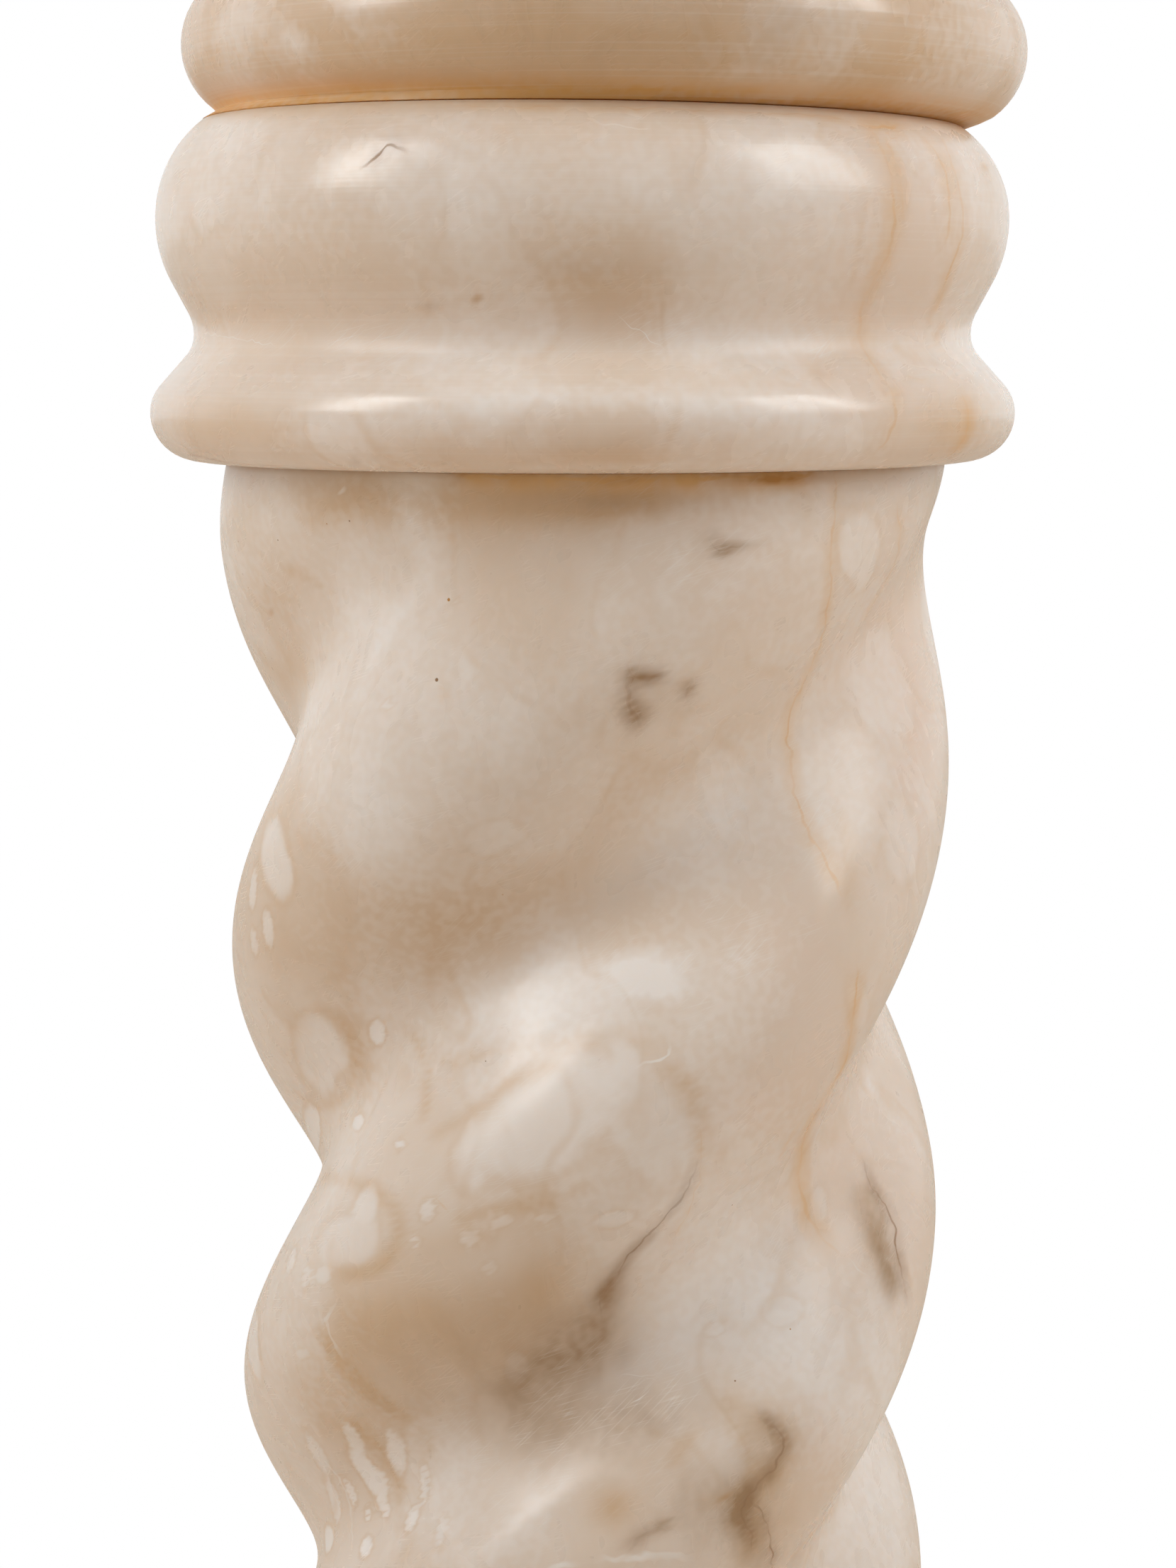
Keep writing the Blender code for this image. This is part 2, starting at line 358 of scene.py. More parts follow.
    def cells(self, spots):
        """Lays pale cells with clear rims under photo ellipses."""
        for *spot, amount in spots:
            away = self.photo_oval(spot)
            if away is not None:
                self.lay_cell(away, amount)

    def nearest(self, path, reach):
        """Points near a path: which, how far, on which side, and the fade at its ends."""
        inside = (self.points > path.min(0) - reach) & (self.points < path.max(0) + reach)
        near = np.flatnonzero(inside.all(1))
        start = path[:-1]
        step = np.diff(path, axis=0)
        length = np.linalg.norm(step, axis=1).clip(1e-6)
        offset = self.points[near][:, None] - start
        along = np.clip((offset * step).sum(2) / length ** 2, 0, 1)
        offset -= along[..., None] * step
        away = np.linalg.norm(offset, axis=2)
        pick = away.argmin(1)
        row = np.arange(len(near))
        side = (np.cross(step[pick], self.outward[near]) * offset[row, pick]).sum(1)
        ends = np.concatenate([[0], np.cumsum(length)])
        walked = ends[pick] + along[row, pick] * length[pick]
        fade = np.clip(np.minimum(walked, ends[-1] - walked) / LINE_FADE, 0, 1)
        return near, away[row, pick], np.where(side < 0, -1, 1), fade

    def draw(self, group, path, width, strength):
        """Draws a line: signed and plain distance, strength and width at the points near a path."""
        if len(path) > 1:
            near, away, side, fade = self.nearest(path, LINE_REACH)
            field = self.lines[group]
            closer = away < field[near, 1]
            rows = np.stack([side * away, away, strength * fade, np.full(len(near), width * MM)], 1)
            field[near[closer]] = rows[closer]

    def photo_lines(self, group, lines):
        """Draws lines under photo pixels: width in millimetres, strength, corners."""
        for width, strength, corners in lines:
            self.draw(group, self.trail(corners), width, strength)

    def bands(self, store, name, lines):
        """Adds soft bands along photo pixels: width in millimetres, amount, corners."""
        for width, amount, corners in lines:
            path = self.trail(corners)
            if len(path) > 1:
                near, away, _, fade = self.nearest(path, 4 * width * MM)
                store[name][near] += amount * np.sqrt(fade) * np.exp(-(away / (width * MM)) ** 2)

    def wander(self, rng, bearings, levels):
        """Path over the stone: bearing and level drift, and the bearing sways by two sines.

        A tanh holds the bearing between its ends.
        """
        share = np.linspace(0, 1, WANDER_STEPS)
        sway = np.zeros(WANDER_STEPS)
        for pace, size in WANDER_SWAYS:
            sway += size * np.sin(TURN * (pace * share + rng.random()))
        start = rng.uniform(*levels)
        end = rng.uniform(*levels)
        middle = sum(bearings) / 2
        half = (bearings[1] - bearings[0]) / 2
        away = rng.uniform(-WANDER_START, WANDER_START) * half
        away = away + rng.uniform(-WANDER_DRIFT, WANDER_DRIFT) * share + sway
        return self.surface(middle + half * np.tanh(away / half), start + (end - start) * share)

    def grow(self, rng, bearings, levels, veins, cells):
        """Veins, fissures and pale cells in keeping on a side that the photograph doesn't show."""
        for number in range(veins):
            group = ("gold", "gold_by", "gold", "crack")[number % 4]
            strength = rng.uniform(*VEIN_STRENGTH)
            path = self.wander(rng, bearings, levels)
            self.draw(group, path, rng.uniform(*VEIN_WIDTH), strength)
            if group == "crack":
                near, away, _, fade = self.nearest(path, LINE_REACH)
                shade = fade * np.exp(-(away / FISSURE_SHADE_WIDTH) ** 2)
                self.tone["smoke"][near] += FISSURE_SHADE * strength * shade
        for _ in range(cells):
            bearing = rng.uniform(*bearings)
            level = rng.uniform(*levels)
            bearings_by = np.array([bearing, bearing + CELL_PROBE, bearing])
            levels_by = np.array([level, level, level + CELL_PROBE])
            centre, beside, above = self.surface(bearings_by, levels_by)
            across = (beside - centre) / np.linalg.norm(beside - centre)
            up = (above - centre) / np.linalg.norm(above - centre)
            size = rng.uniform(*CELL_SIZE) * MM
            tilt = rng.uniform(*CELL_TILT)
            long_way = up * math.cos(tilt) + across * math.sin(tilt)
            short_way = across * math.cos(tilt) - up * math.sin(tilt)
            long_axis = long_way * size * rng.uniform(*CELL_STRETCH)
            away = self.oval(centre, short_way * size, long_axis)
            self.lay_cell(away, rng.uniform(*CELL_MILK))

    def keep(self):
        """Writes the marks to the mesh as four numbers for each point."""
        sheets = dict(self.lines)
        sheets["tone"] = np.stack(list(self.tone.values()), 1)
        sheets["marks"] = np.stack(list(self.mark.values()), 1)
        for name, values in sheets.items():
            sheet = self.mesh.attributes.new(name, "FLOAT_COLOR", "POINT")
            sheet.data.foreach_set("color", values.astype(np.float32).ravel())


def add_node(tree, kind, inputs=(), **settings):
    """New node with its settings, and its inputs as pairs of socket and value or link."""
    made = tree.nodes.new(kind)
    for name, value in settings.items():
        setattr(made, name, value)
    for socket, value in inputs:
        if isinstance(value, bpy.types.NodeSocket):
            tree.links.new(value, made.inputs[socket])
        else:
            made.inputs[socket].default_value = value
    return made


def sum_of(tree, operation, *values):
    """One arithmetic node on up to three values or links."""
    return add_node(tree, "ShaderNodeMath", enumerate(values), operation=operation).outputs[0]


def rise(tree, value, low, high):
    """Smooth step from 0 at the low value to 1 at the high one, either way round."""
    inputs = (("Value", value), ("From Min", low), ("From Max", high))
    return add_node(tree, "ShaderNodeMapRange", inputs, interpolation_type="SMOOTHSTEP").outputs[0]


def tint(tree, share, below, above):
    """One colour over another by a share."""
    inputs = ((0, share), (6, below), (7, above))
    return add_node(tree, "ShaderNodeMix", inputs, data_type="RGBA").outputs[2]


def grain(tree, place, scale, detail=2.0, roughness=0.5):
    """Soft noise from 0 to 1 at so many cycles per metre."""
    inputs = (("Vector", place), ("Scale", scale), ("Detail", detail), ("Roughness", roughness))
    return add_node(tree, "ShaderNodeTexNoise", inputs).outputs[0]


def marks_of(tree, name):
    """The four numbers kept at each point under a name."""
    sheet = add_node(tree, "ShaderNodeAttribute", attribute_name=name)
    parts = add_node(tree, "ShaderNodeSeparateColor", (("Color", sheet.outputs["Color"]),))
    return (*parts.outputs[:3], sheet.outputs["Alpha"])


LINE_EDGE = (1.0, 0.25)
LINE_END = (3.2 * MM, 1.8 * MM)
HALO_EDGE = (8.0, 0.0)


def thin_line(tree, name, wobble, broken):
    """Share of a drawn line: full inside its width, wavering, broken by noise, nothing far off."""
    signed, away, strength, width = marks_of(tree, name)
    off = sum_of(tree, "ABSOLUTE", sum_of(tree, "ADD", signed, wobble))
    core = rise(tree, sum_of(tree, "DIVIDE", off, width), *LINE_EDGE)
    near = rise(tree, away, *LINE_END)
    halo = rise(tree, sum_of(tree, "DIVIDE", away, width), *HALO_EDGE)
    core = sum_of(tree, "MULTIPLY", sum_of(tree, "MULTIPLY", core, near), broken)
    return sum_of(tree, "MULTIPLY", core, strength), sum_of(tree, "MULTIPLY", halo, strength)


CREAM = (0.808, 0.666, 0.556, 1)
TAN = (0.680, 0.462, 0.285, 1)
MILK = (0.910, 0.818, 0.752, 1)
PINK = (0.805, 0.615, 0.495, 1)
SMOKE = (0.400, 0.245, 0.130, 1)
GOLD = (0.740, 0.430, 0.180, 1)
FISSURE = (0.300, 0.150, 0.062, 1)
RUST = (0.520, 0.245, 0.065, 1)
# Amber colours the stains of the neck collar and capital, and the painted glow of light through the
# stone along their joint.
AMBER = (0.690, 0.365, 0.115, 1)
CHALK = (0.930, 0.880, 0.830, 1)
SLIM = (1.0, 1.0, 0.62)
DRIFT_SCALE = 24.0
DRIFT_REACH = 0.030
BAND_SCALE = 26.0
FINE_SCALE = 120.0
SPECK_SCALE = 560.0
WOBBLE_SCALE = 400.0
WOBBLE = 1.6 * MM
PATCH_SCALE = 120.0
RELIEF_SCALE = 150.0
LATHE_SCALE = (12.0, 12.0, 2200.0)
STROKES = ((38.0, 90.0, 3300.0), (15.0, 120.0, 3900.0))
STROKE_RADIUS = 0.075
CORE_SHARE = 0.75
LINE_INKS = (("gold", GOLD, 0.50), ("gold_by", GOLD, 0.50),
             ("crack", FISSURE, 0.40), ("crack_by", FISSURE, 0.40))
STONE_IOR = 1.52
GLOW_WEIGHT = 0.75
GLOW_RADIUS = (1.0, 0.50, 0.28)
GLOW_DEPTH = 0.010
SLOW_RANGE = (0.32, 0.68)
FINE_RANGE = (0.28, 0.72)
FINE_ROUGHNESS = 0.60
SPECK_RANGE = (0.25, 0.75)
TAN_BY_SLOW = (0.50, -0.28)
TAN_BY_FINE = (0.16, -0.08)
PALE_BY_SLOW = (-0.45, 0.16)
PALE_BY_FINE = (0.30, -0.12)
PALE_BY_SPECK = (0.24, -0.12)
CELL_BY_FINE = (0.26, -0.13)
RIM_OUTSIDE = (0.06, 0.36)
RIM_INSIDE = (0.62, 0.40)
RIM_SHARE = 0.42
CELL_EDGE = (0.32, 0.80)
SEAM_EDGE = (0.030, 0.0)
SEAM_SHARE = 0.32
SMOKE_BY_SPECK = (0.16, 0.57)
SMOKE_BY_FINE = 0.7
BREAKS = (2.2, -0.35)
HALO_BY_FINE = 1.2
HALO_LEAST = 0.4
STAIN_AND_GLOW_BY_SPECK = (0.3, 0.75)
PIN_CORE = 0.6
STROKE_RANGE = (0.58, 0.80)
WORN_PATCHES = (0.35, 0.60)
WORN_SHARE = 0.34
LATHE_RANGE = (0.52, 0.74)
DULL_SPREAD = 0.07
DULL_DROP = 0.03
DULL_WORN = 0.20
DULL_RUBBED = 0.20
DULL_BY_SCUFF_STAIN_AND_GLOW = 0.3
DULL_CRACK = 0.4
RELIEF_CARVED = 0.03
RELIEF_TURNED = 0.02
RELIEF_LATHE = 0.015
RELIEF_STRENGTH = 0.7


def alabaster(name, gloss, scratches, hairlines, pins=(), stain_and_glow_ink=RUST):
    """Waxed alabaster: cream stone clouded tan, milk and pink, veined gold, with worn-in marks.

    Gloss is its roughness, scratches and hairlines are how much of them shows, pins are dark
    spots as place, size and ink, and the last argument colours its stains and residue, and on
    the neck collar and capital a painted glow of light through the stone along their joint.
    """
    material = bpy.data.materials.new(name)
    material.use_nodes = True
    tree = material.node_tree
    shader = tree.nodes["Principled BSDF"]
    place = add_node(tree, "ShaderNodeTexCoord").outputs["Object"]
    slim = add_node(tree, "ShaderNodeVectorMath", ((0, place), (1, SLIM)), operation="MULTIPLY")
    slim = slim.outputs[0]
    drift = add_node(tree, "ShaderNodeTexNoise",
                     (("Vector", slim), ("Scale", DRIFT_SCALE), ("Detail", 1.0)))
    carried = ((0, drift.outputs["Color"]), (1, (DRIFT_REACH, DRIFT_REACH, DRIFT_REACH)), (2, slim))
    flow = add_node(tree, "ShaderNodeVectorMath", carried, operation="MULTIPLY_ADD").outputs[0]
    band = grain(tree, flow, BAND_SCALE, 2.0)
    slow = rise(tree, band, *SLOW_RANGE)
    fine = rise(tree, grain(tree, flow, FINE_SCALE, 2.0, FINE_ROUGHNESS), *FINE_RANGE)
    speck = rise(tree, grain(tree, place, SPECK_SCALE, 0.0), *SPECK_RANGE)
    tan, pale, pink, smoke = marks_of(tree, "tone")
    cell, milk, stain_and_glow, scratch = marks_of(tree, "marks")

    tan = sum_of(tree, "ADD", tan, sum_of(tree, "MULTIPLY_ADD", slow, *TAN_BY_SLOW))
    tan = sum_of(tree, "ADD", tan, sum_of(tree, "MULTIPLY_ADD", fine, *TAN_BY_FINE))
    colour = tint(tree, tan, CREAM, TAN)
    colour = tint(tree, pink, colour, PINK)
    pale = sum_of(tree, "ADD", pale, sum_of(tree, "MULTIPLY_ADD", slow, *PALE_BY_SLOW))
    pale = sum_of(tree, "ADD", pale, sum_of(tree, "MULTIPLY_ADD", fine, *PALE_BY_FINE))
    pale = sum_of(tree, "ADD", pale, sum_of(tree, "MULTIPLY_ADD", speck, *PALE_BY_SPECK))
    colour = tint(tree, pale, colour, MILK)
    level = sum_of(tree, "ADD", cell, sum_of(tree, "MULTIPLY_ADD", fine, *CELL_BY_FINE))
    rim_out = rise(tree, level, *RIM_OUTSIDE)
    border = sum_of(tree, "MULTIPLY", rim_out, rise(tree, level, *RIM_INSIDE))
    border = sum_of(tree, "MULTIPLY", border, sum_of(tree, "MULTIPLY", milk, RIM_SHARE))
    colour = tint(tree, border, colour, TAN)
    filled = sum_of(tree, "MULTIPLY", rise(tree, level, *CELL_EDGE), milk)
    colour = tint(tree, filled, colour, MILK)

    contour = sum_of(tree, "ABSOLUTE", sum_of(tree, "SUBTRACT", band, 0.5))
    seam = sum_of(tree, "MULTIPLY", rise(tree, contour, *SEAM_EDGE), fine)
    colour = tint(tree, sum_of(tree, "MULTIPLY", seam, SEAM_SHARE), colour, TAN)
    cloudy = sum_of(tree, "MULTIPLY_ADD", speck, *SMOKE_BY_SPECK)
    cloudy = sum_of(tree, "MULTIPLY_ADD", fine, SMOKE_BY_FINE, cloudy)
    cloudy = sum_of(tree, "MULTIPLY", smoke, cloudy)
    colour = tint(tree, cloudy, colour, SMOKE)

    wobble = grain(tree, place, WOBBLE_SCALE, 0.0)
    wobble = sum_of(tree, "MULTIPLY_ADD", wobble, WOBBLE, -WOBBLE / 2)
    patches = grain(tree, place, PATCH_SCALE, 0.0)
    broken = sum_of(tree, "MULTIPLY_ADD", patches, *BREAKS)
    cut = None
    for group, ink, halo_share in LINE_INKS:
        core, halo = thin_line(tree, group, wobble, broken)
        clouded = sum_of(tree, "MULTIPLY_ADD", fine, HALO_BY_FINE * halo_share,
                         HALO_LEAST * halo_share)
        soft = tint(tree, sum_of(tree, "MULTIPLY", halo, clouded), colour, ink)
        colour = tint(tree, sum_of(tree, "MULTIPLY", core, CORE_SHARE), soft, ink)
        if ink is FISSURE:
            cut = core if cut is None else sum_of(tree, "MAXIMUM", cut, core)
    # These marks hold real stains and residue, and on the neck collar and capital also a painted
    # glow of light through the stone along their joint.
    stain_and_glow_share = sum_of(tree, "MULTIPLY", stain_and_glow, sum_of(tree, "MULTIPLY_ADD", speck, *STAIN_AND_GLOW_BY_SPECK))
    colour = tint(tree, stain_and_glow_share, colour, stain_and_glow_ink)
    for spot, size, ink in pins:
        away = add_node(tree, "ShaderNodeVectorMath", ((0, place), (1, tuple(spot))),
                        operation="DISTANCE").outputs["Value"]
        colour = tint(tree, rise(tree, away, size * MM, PIN_CORE * size * MM), colour, ink)

    axes = add_node(tree, "ShaderNodeSeparateXYZ", ((0, place),)).outputs
    round_way = sum_of(tree, "MULTIPLY", sum_of(tree, "ARCTAN2", axes[1], axes[0]), STROKE_RADIUS)
    worn = 0.0
    for turn_deg, length, across in STROKES:
        along = math.radians(turn_deg)
        lie = sum_of(tree, "ADD", sum_of(tree, "MULTIPLY", round_way, math.cos(along)),
                     sum_of(tree, "MULTIPLY", axes[2], math.sin(along)))
        cross = sum_of(tree, "SUBTRACT", sum_of(tree, "MULTIPLY", axes[2], math.cos(along)),
                       sum_of(tree, "MULTIPLY", round_way, math.sin(along)))
        strokes = add_node(tree, "ShaderNodeCombineXYZ", (
            (0, sum_of(tree, "MULTIPLY", lie, length)),
            (1, sum_of(tree, "MULTIPLY", cross, across))))
        stroke = rise(tree, grain(tree, strokes.outputs[0], 1.0, 0.0), *STROKE_RANGE)
        worn = sum_of(tree, "ADD", stroke, worn)
    wear = sum_of(tree, "ADD", scratch, scratches)
    wear = sum_of(tree, "MULTIPLY", wear, rise(tree, patches, *WORN_PATCHES))
    worn = sum_of(tree, "MULTIPLY", worn, wear)
    colour = tint(tree, sum_of(tree, "MULTIPLY", worn, WORN_SHARE), colour, CHALK)
    chalk, _ = thin_line(tree, "scuff", wobble, broken)
    colour = tint(tree, chalk, colour, CHALK)

    if hairlines:
        rings = add_node(tree, "ShaderNodeVectorMath", ((0, place), (1, LATHE_SCALE)),
                         operation="MULTIPLY").outputs[0]
        lathe = grain(tree, rings, 1.0, 0.0)
        turned_lines = sum_of(tree, "MULTIPLY", rise(tree, lathe, *LATHE_RANGE), hairlines)
        colour = tint(tree, turned_lines, colour, CHALK)
    tree.links.new(colour, shader.inputs["Base Color"])

    dull = sum_of(tree, "MULTIPLY_ADD", fine, DULL_SPREAD, gloss - DULL_DROP)
    rubbed = sum_of(tree, "MULTIPLY", scratch, DULL_RUBBED)
    dull = sum_of(tree, "ADD", dull, sum_of(tree, "MULTIPLY_ADD", worn, DULL_WORN, rubbed))
    scuff_stain_and_glow = sum_of(tree, "ADD", chalk, stain_and_glow_share)
    dull = sum_of(tree, "ADD", dull, sum_of(tree, "MULTIPLY", scuff_stain_and_glow, DULL_BY_SCUFF_STAIN_AND_GLOW))
    dull = sum_of(tree, "ADD", dull, sum_of(tree, "MULTIPLY", cut, DULL_CRACK))
    tree.links.new(dull, shader.inputs["Roughness"])
    shader.inputs["IOR"].default_value = STONE_IOR
    shader.inputs["Subsurface Weight"].default_value = GLOW_WEIGHT
    shader.inputs["Subsurface Radius"].default_value = GLOW_RADIUS
    shader.inputs["Subsurface Scale"].default_value = GLOW_DEPTH
    shader.subsurface_method = "BURLEY"

    relief = grain(tree, place, RELIEF_SCALE, 0.0)
    relief = sum_of(tree, "MULTIPLY", relief, RELIEF_TURNED if hairlines else RELIEF_CARVED)
    if hairlines:
        relief = sum_of(tree, "ADD", relief, sum_of(tree, "MULTIPLY", lathe, RELIEF_LATHE))
    bump = add_node(tree, "ShaderNodeBump", (
        ("Strength", RELIEF_STRENGTH), ("Distance", MM), ("Height", relief)))
    tree.links.new(bump.outputs[0], shader.inputs["Normal"])
    return material


foot_bead_height = FOOT_SLAB_THICKNESS + FOOT_BEAD_ARC
foot_rounds = (
    (BEAD, (FOOT_BEAD_RADIUS, foot_bead_height), FOOT_BEAD_ARC, FOOT_BEAD_ARC),
    (HOLLOW, (FOOT_HOLLOW_RADIUS, foot_high.z), FOOT_HOLLOW_ARC, FOOT_HOLLOW_ARC),
)
foot_outline = np.concatenate([
    slab(FOOT_SLAB_RADIUS, 0.0, FOOT_SLAB_THICKNESS, FOOT_SLAB_ROUNDING),
    moulding(foot_rounds, -QUARTER_TURN, 0.0),
])
foot_profile = spaced(foot_outline, FOOT_GRID)
foot_rings = uneven(turned(foot_profile, FOOT_SIDES), *FOOT_UNEVENNESS, FOOT_SEED)
foot = skin("foot_stone", foot_rings)
foot_marks = Stone(foot, lambda bearing, row: on_lathe(foot_profile, bearing, row))
foot_dice = np.random.default_rng(FOOT_SEED)
foot_marks.grow(foot_dice, (0, TURN), (50, len(foot_profile) - 20), veins=22, cells=26)
foot_marks.keep()
foot.data.materials.append(alabaster("foot alabaster", gloss=0.24, scratches=0.12, hairlines=0.12))
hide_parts("foot")
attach(foot, "root")

# The base collar
# A collar of alabaster with a ring, a hollow and a belly, turned from one block. It lies
# ring upwards on the foot and takes the shaft's plain round end.
collar_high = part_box("base_collar")[1]
COLLAR_SIDES = 320
COLLAR_GRID = 0.0013
RING_RADIUS = collar_high.x
RING_ARC_AT_FACE = 0.0094
RING_ARC_AT_HOLLOW = 0.0084
HOLLOW_DEPTH = 0.0091
HOLLOW_RISE = 0.0158
HOLLOW_ARC_AT_RING = 0.0064
HOLLOW_ARC_AT_BELLY = 0.0090
BELLY_RADIUS = 0.08635
BELLY_RISE = 0.0226
BELLY_ARC_AT_HOLLOW = 0.0262
SHOULDER_ARC = 0.0233
SHOULDER_RISE = 0.0188
COLLAR_UNEVENNESS = (0.0002, 0.040)
COLLAR_PLAIN_ROWS = 60
COLLAR_SEED = 47

hollow_crest = (RING_RADIUS - HOLLOW_DEPTH, RING_ARC_AT_FACE + HOLLOW_RISE)
belly_crest = (BELLY_RADIUS, hollow_crest[1] + BELLY_RISE)
collar_height = belly_crest[1] + SHOULDER_RISE
collar_rounds = (
    (BEAD, (RING_RADIUS, RING_ARC_AT_FACE), RING_ARC_AT_FACE, RING_ARC_AT_HOLLOW),
    (HOLLOW, hollow_crest, HOLLOW_ARC_AT_RING, HOLLOW_ARC_AT_BELLY),
    (BEAD, belly_crest, BELLY_ARC_AT_HOLLOW, SHOULDER_ARC),
)
collar_outline = moulding(collar_rounds, -QUARTER_TURN, math.asin(SHOULDER_RISE / SHOULDER_ARC))
collar_profile = spaced(collar_outline, COLLAR_GRID)
base_profile = np.stack([collar_profile[::-1, 0], collar_high.z - collar_profile[::-1, 1]], 1)
base_rings = uneven(turned(base_profile, COLLAR_SIDES), *COLLAR_UNEVENNESS, COLLAR_SEED)
base_collar = skin("base_collar_stone", base_rings)
base_marks = Stone(base_collar, lambda bearing, row: on_lathe(base_profile, bearing, row))
base_dice = np.random.default_rng(COLLAR_SEED)
marked_rows = (COLLAR_PLAIN_ROWS, len(base_profile) - COLLAR_PLAIN_ROWS)
base_marks.grow(base_dice, (0, TURN), marked_rows, veins=20, cells=20)
base_marks.keep()
base_stone = alabaster("base collar alabaster", gloss=0.17, scratches=0.08, hairlines=0.12)
base_collar.data.materials.append(base_stone)
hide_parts("base_collar")
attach(base_collar, "root")

# The twisted shaft
# One block of alabaster carved by hand into three strands twisted right-handed. The
# grooves run out into a plain round at both ends, where the collars take it.
SHAFT_SIDES = 270
SHAFT_ROWS_BELOW = 72
SHAFT_ROWS_SEEN = 290
SHAFT_SEEN_FROM = 0.235
SHAFT_RADIUS = 0.0758
SHAFT_WAIST = 0.0046
END_DROP = 0.0021
END_DROP_LENGTH = 0.020
TWIST_TURNS = 2.36
TWIST_SLOWING = 0.149
TWIST_START = math.radians(69.0)
GROOVE_FADE_LENGTH = 0.0697
GROOVE_SHARPNESS = 6.36
STRANDS = ((0.406, 0.0137, 1.6), (0.401, 0.0208, 2.7), (0.446, 0.0078, 0.0))
SHAFT_UNEVENNESS = (0.0005, 0.030)
SHAFT_SEED = 5
shaft_length = shaft_high.z - shaft_low.z


def twist_angle(depth):
    """Turn of the strands: full turns times the eased share of the depth, slower at the ends."""
    share = depth / shaft_length
    return -TURN * TWIST_TURNS * (share - TWIST_SLOWING * np.sin(TURN * share) / TURN)


def shaft_radius(angle, depth):
    """Softened largest reach of three round strands, blended back to a circle near each end."""
    share = depth / shaft_length
    from_end = np.minimum(depth, shaft_length - depth)
    drop = END_DROP * np.clip(1 - from_end / END_DROP_LENGTH, 0, 1) ** 2
    round_radius = SHAFT_RADIUS - SHAFT_WAIST * 4 * share * (1 - share) - drop
    grooved = np.sin(QUARTER_TURN * np.clip(from_end / GROOVE_FADE_LENGTH, 0, 1))
    blend = 0.0
    for number, (offset, swell, turn_deg) in enumerate(STRANDS):
        strand = 1 + swell - offset
        strand_start = TWIST_START + number * TURN / 3 + math.radians(turn_deg)
        away = angle - twist_angle(depth) - strand_start
        reach = offset * np.cos(away) + np.sqrt(strand ** 2 - (offset * np.sin(away)) ** 2)
        blend = blend + np.exp(GROOVE_SHARPNESS * reach)
    return round_radius * (1 - grooved * (1 - np.log(blend) / GROOVE_SHARPNESS))


def on_shaft(bearing, height):
    """Point of the shaft's side at a bearing and a height above its foot."""
    out = shaft_radius(bearing, shaft_length - height)
    return np.stack([out * np.cos(bearing), out * np.sin(bearing), shaft_low.z + height], -1)


heights = np.concatenate([
    np.linspace(0, SHAFT_SEEN_FROM, SHAFT_ROWS_BELOW)[:-1],
    np.linspace(SHAFT_SEEN_FROM, shaft_length, SHAFT_ROWS_SEEN),
])
height, bearing = np.meshgrid(heights, np.arange(SHAFT_SIDES) * TURN / SHAFT_SIDES, indexing="ij")
bearing = bearing + 0.5 * twist_angle(shaft_length - height)
shaft_rings = uneven(on_shaft(bearing, height), *SHAFT_UNEVENNESS, SHAFT_SEED)
shaft = skin("shaft_stone", shaft_rings)
shaft_marks = Stone(shaft, on_shaft)
shaft_marks.soft(shaft_marks.form, "lift", (
    (780, 1574, 150, 60, 30, 1.00), (905, 1375, 60, 40, 0, 0.50), (1166, 1262, 36, 60, 0, 1.00),
    (487, 1150, 34, 70, 0, 0.50), (560, 2120, 70, 60, 0, -0.60), (800, 1900, 60, 50, 30, -0.60),
    (690, 1430, 90, 40, 20, 0.40), (885, 2080, 30, 24, 20, 0.30), (1080, 2140, 30, 60, 0, -0.30),
))
shaft_marks.bands(shaft_marks.form, "lift", (
    (3.5, -0.25, ((600, 1608), (685, 1558), (760, 1488), (830, 1450))),
    (4.0, 0.50, ((640, 2225), (715, 2168), (800, 2115), (880, 2075))),
    (2.0, -0.35, ((925, 1732), (892, 1763), (866, 1806), (847, 1840))),
    (1.8, -0.50, ((1216, 1634), (1245, 1695), (1262, 1745), (1280, 1850))),
))
shaft_marks.reshape()

# Marks of the shaft as the photograph shows them, in its pixels: an oval is a centre, two
# half axes, a turn in degrees and an amount; a line is a width in millimetres, an amount and
# its corners.
# The first four tan ovals, along the top of the shaft just under the neck collar, are painted shade
# that the collar casts on the shaft.
shaft_marks.soft(shaft_marks.tone, "tan", (
    (860, 705, 90, 26, 0, 0.85), (620, 712, 190, 34, 0, 0.75), (480, 715, 60, 40, 0, 0.35),
    (1030, 705, 130, 28, 0, 0.50), (383, 838, 36, 42, 0, 0.45), (407, 935, 28, 36, 0, 0.45),
    (400, 1130, 50, 90, 0, 0.35), (690, 1275, 100, 62, 14, 0.75), (560, 1330, 100, 90, 10, 0.45),
    (430, 1360, 70, 70, 0, 0.22),
    (512, 1480, 20, 70, 4, 0.85), (900, 1100, 110, 40, 22, 0.22), (640, 1160, 70, 40, 20, 0.25),
    (640, 1930, 150, 62, 20, 0.50), (480, 1930, 60, 80, -10, 0.50), (560, 1850, 110, 50, 10, 0.45),
    (790, 1800, 90, 40, 38, 0.50), (700, 1730, 120, 26, 20, 0.35), (866, 2126, 28, 22, 10, 0.70),
    (1021, 1983, 20, 13, 0, 0.55), (892, 1476, 13, 15, 0, 0.55), (470, 2010, 90, 30, -35, 0.25),
    (1100, 2140, 40, 90, 0, 0.30), (1190, 1180, 36, 80, -8, 0.30), (960, 1870, 70, 24, 20, 0.15),
))
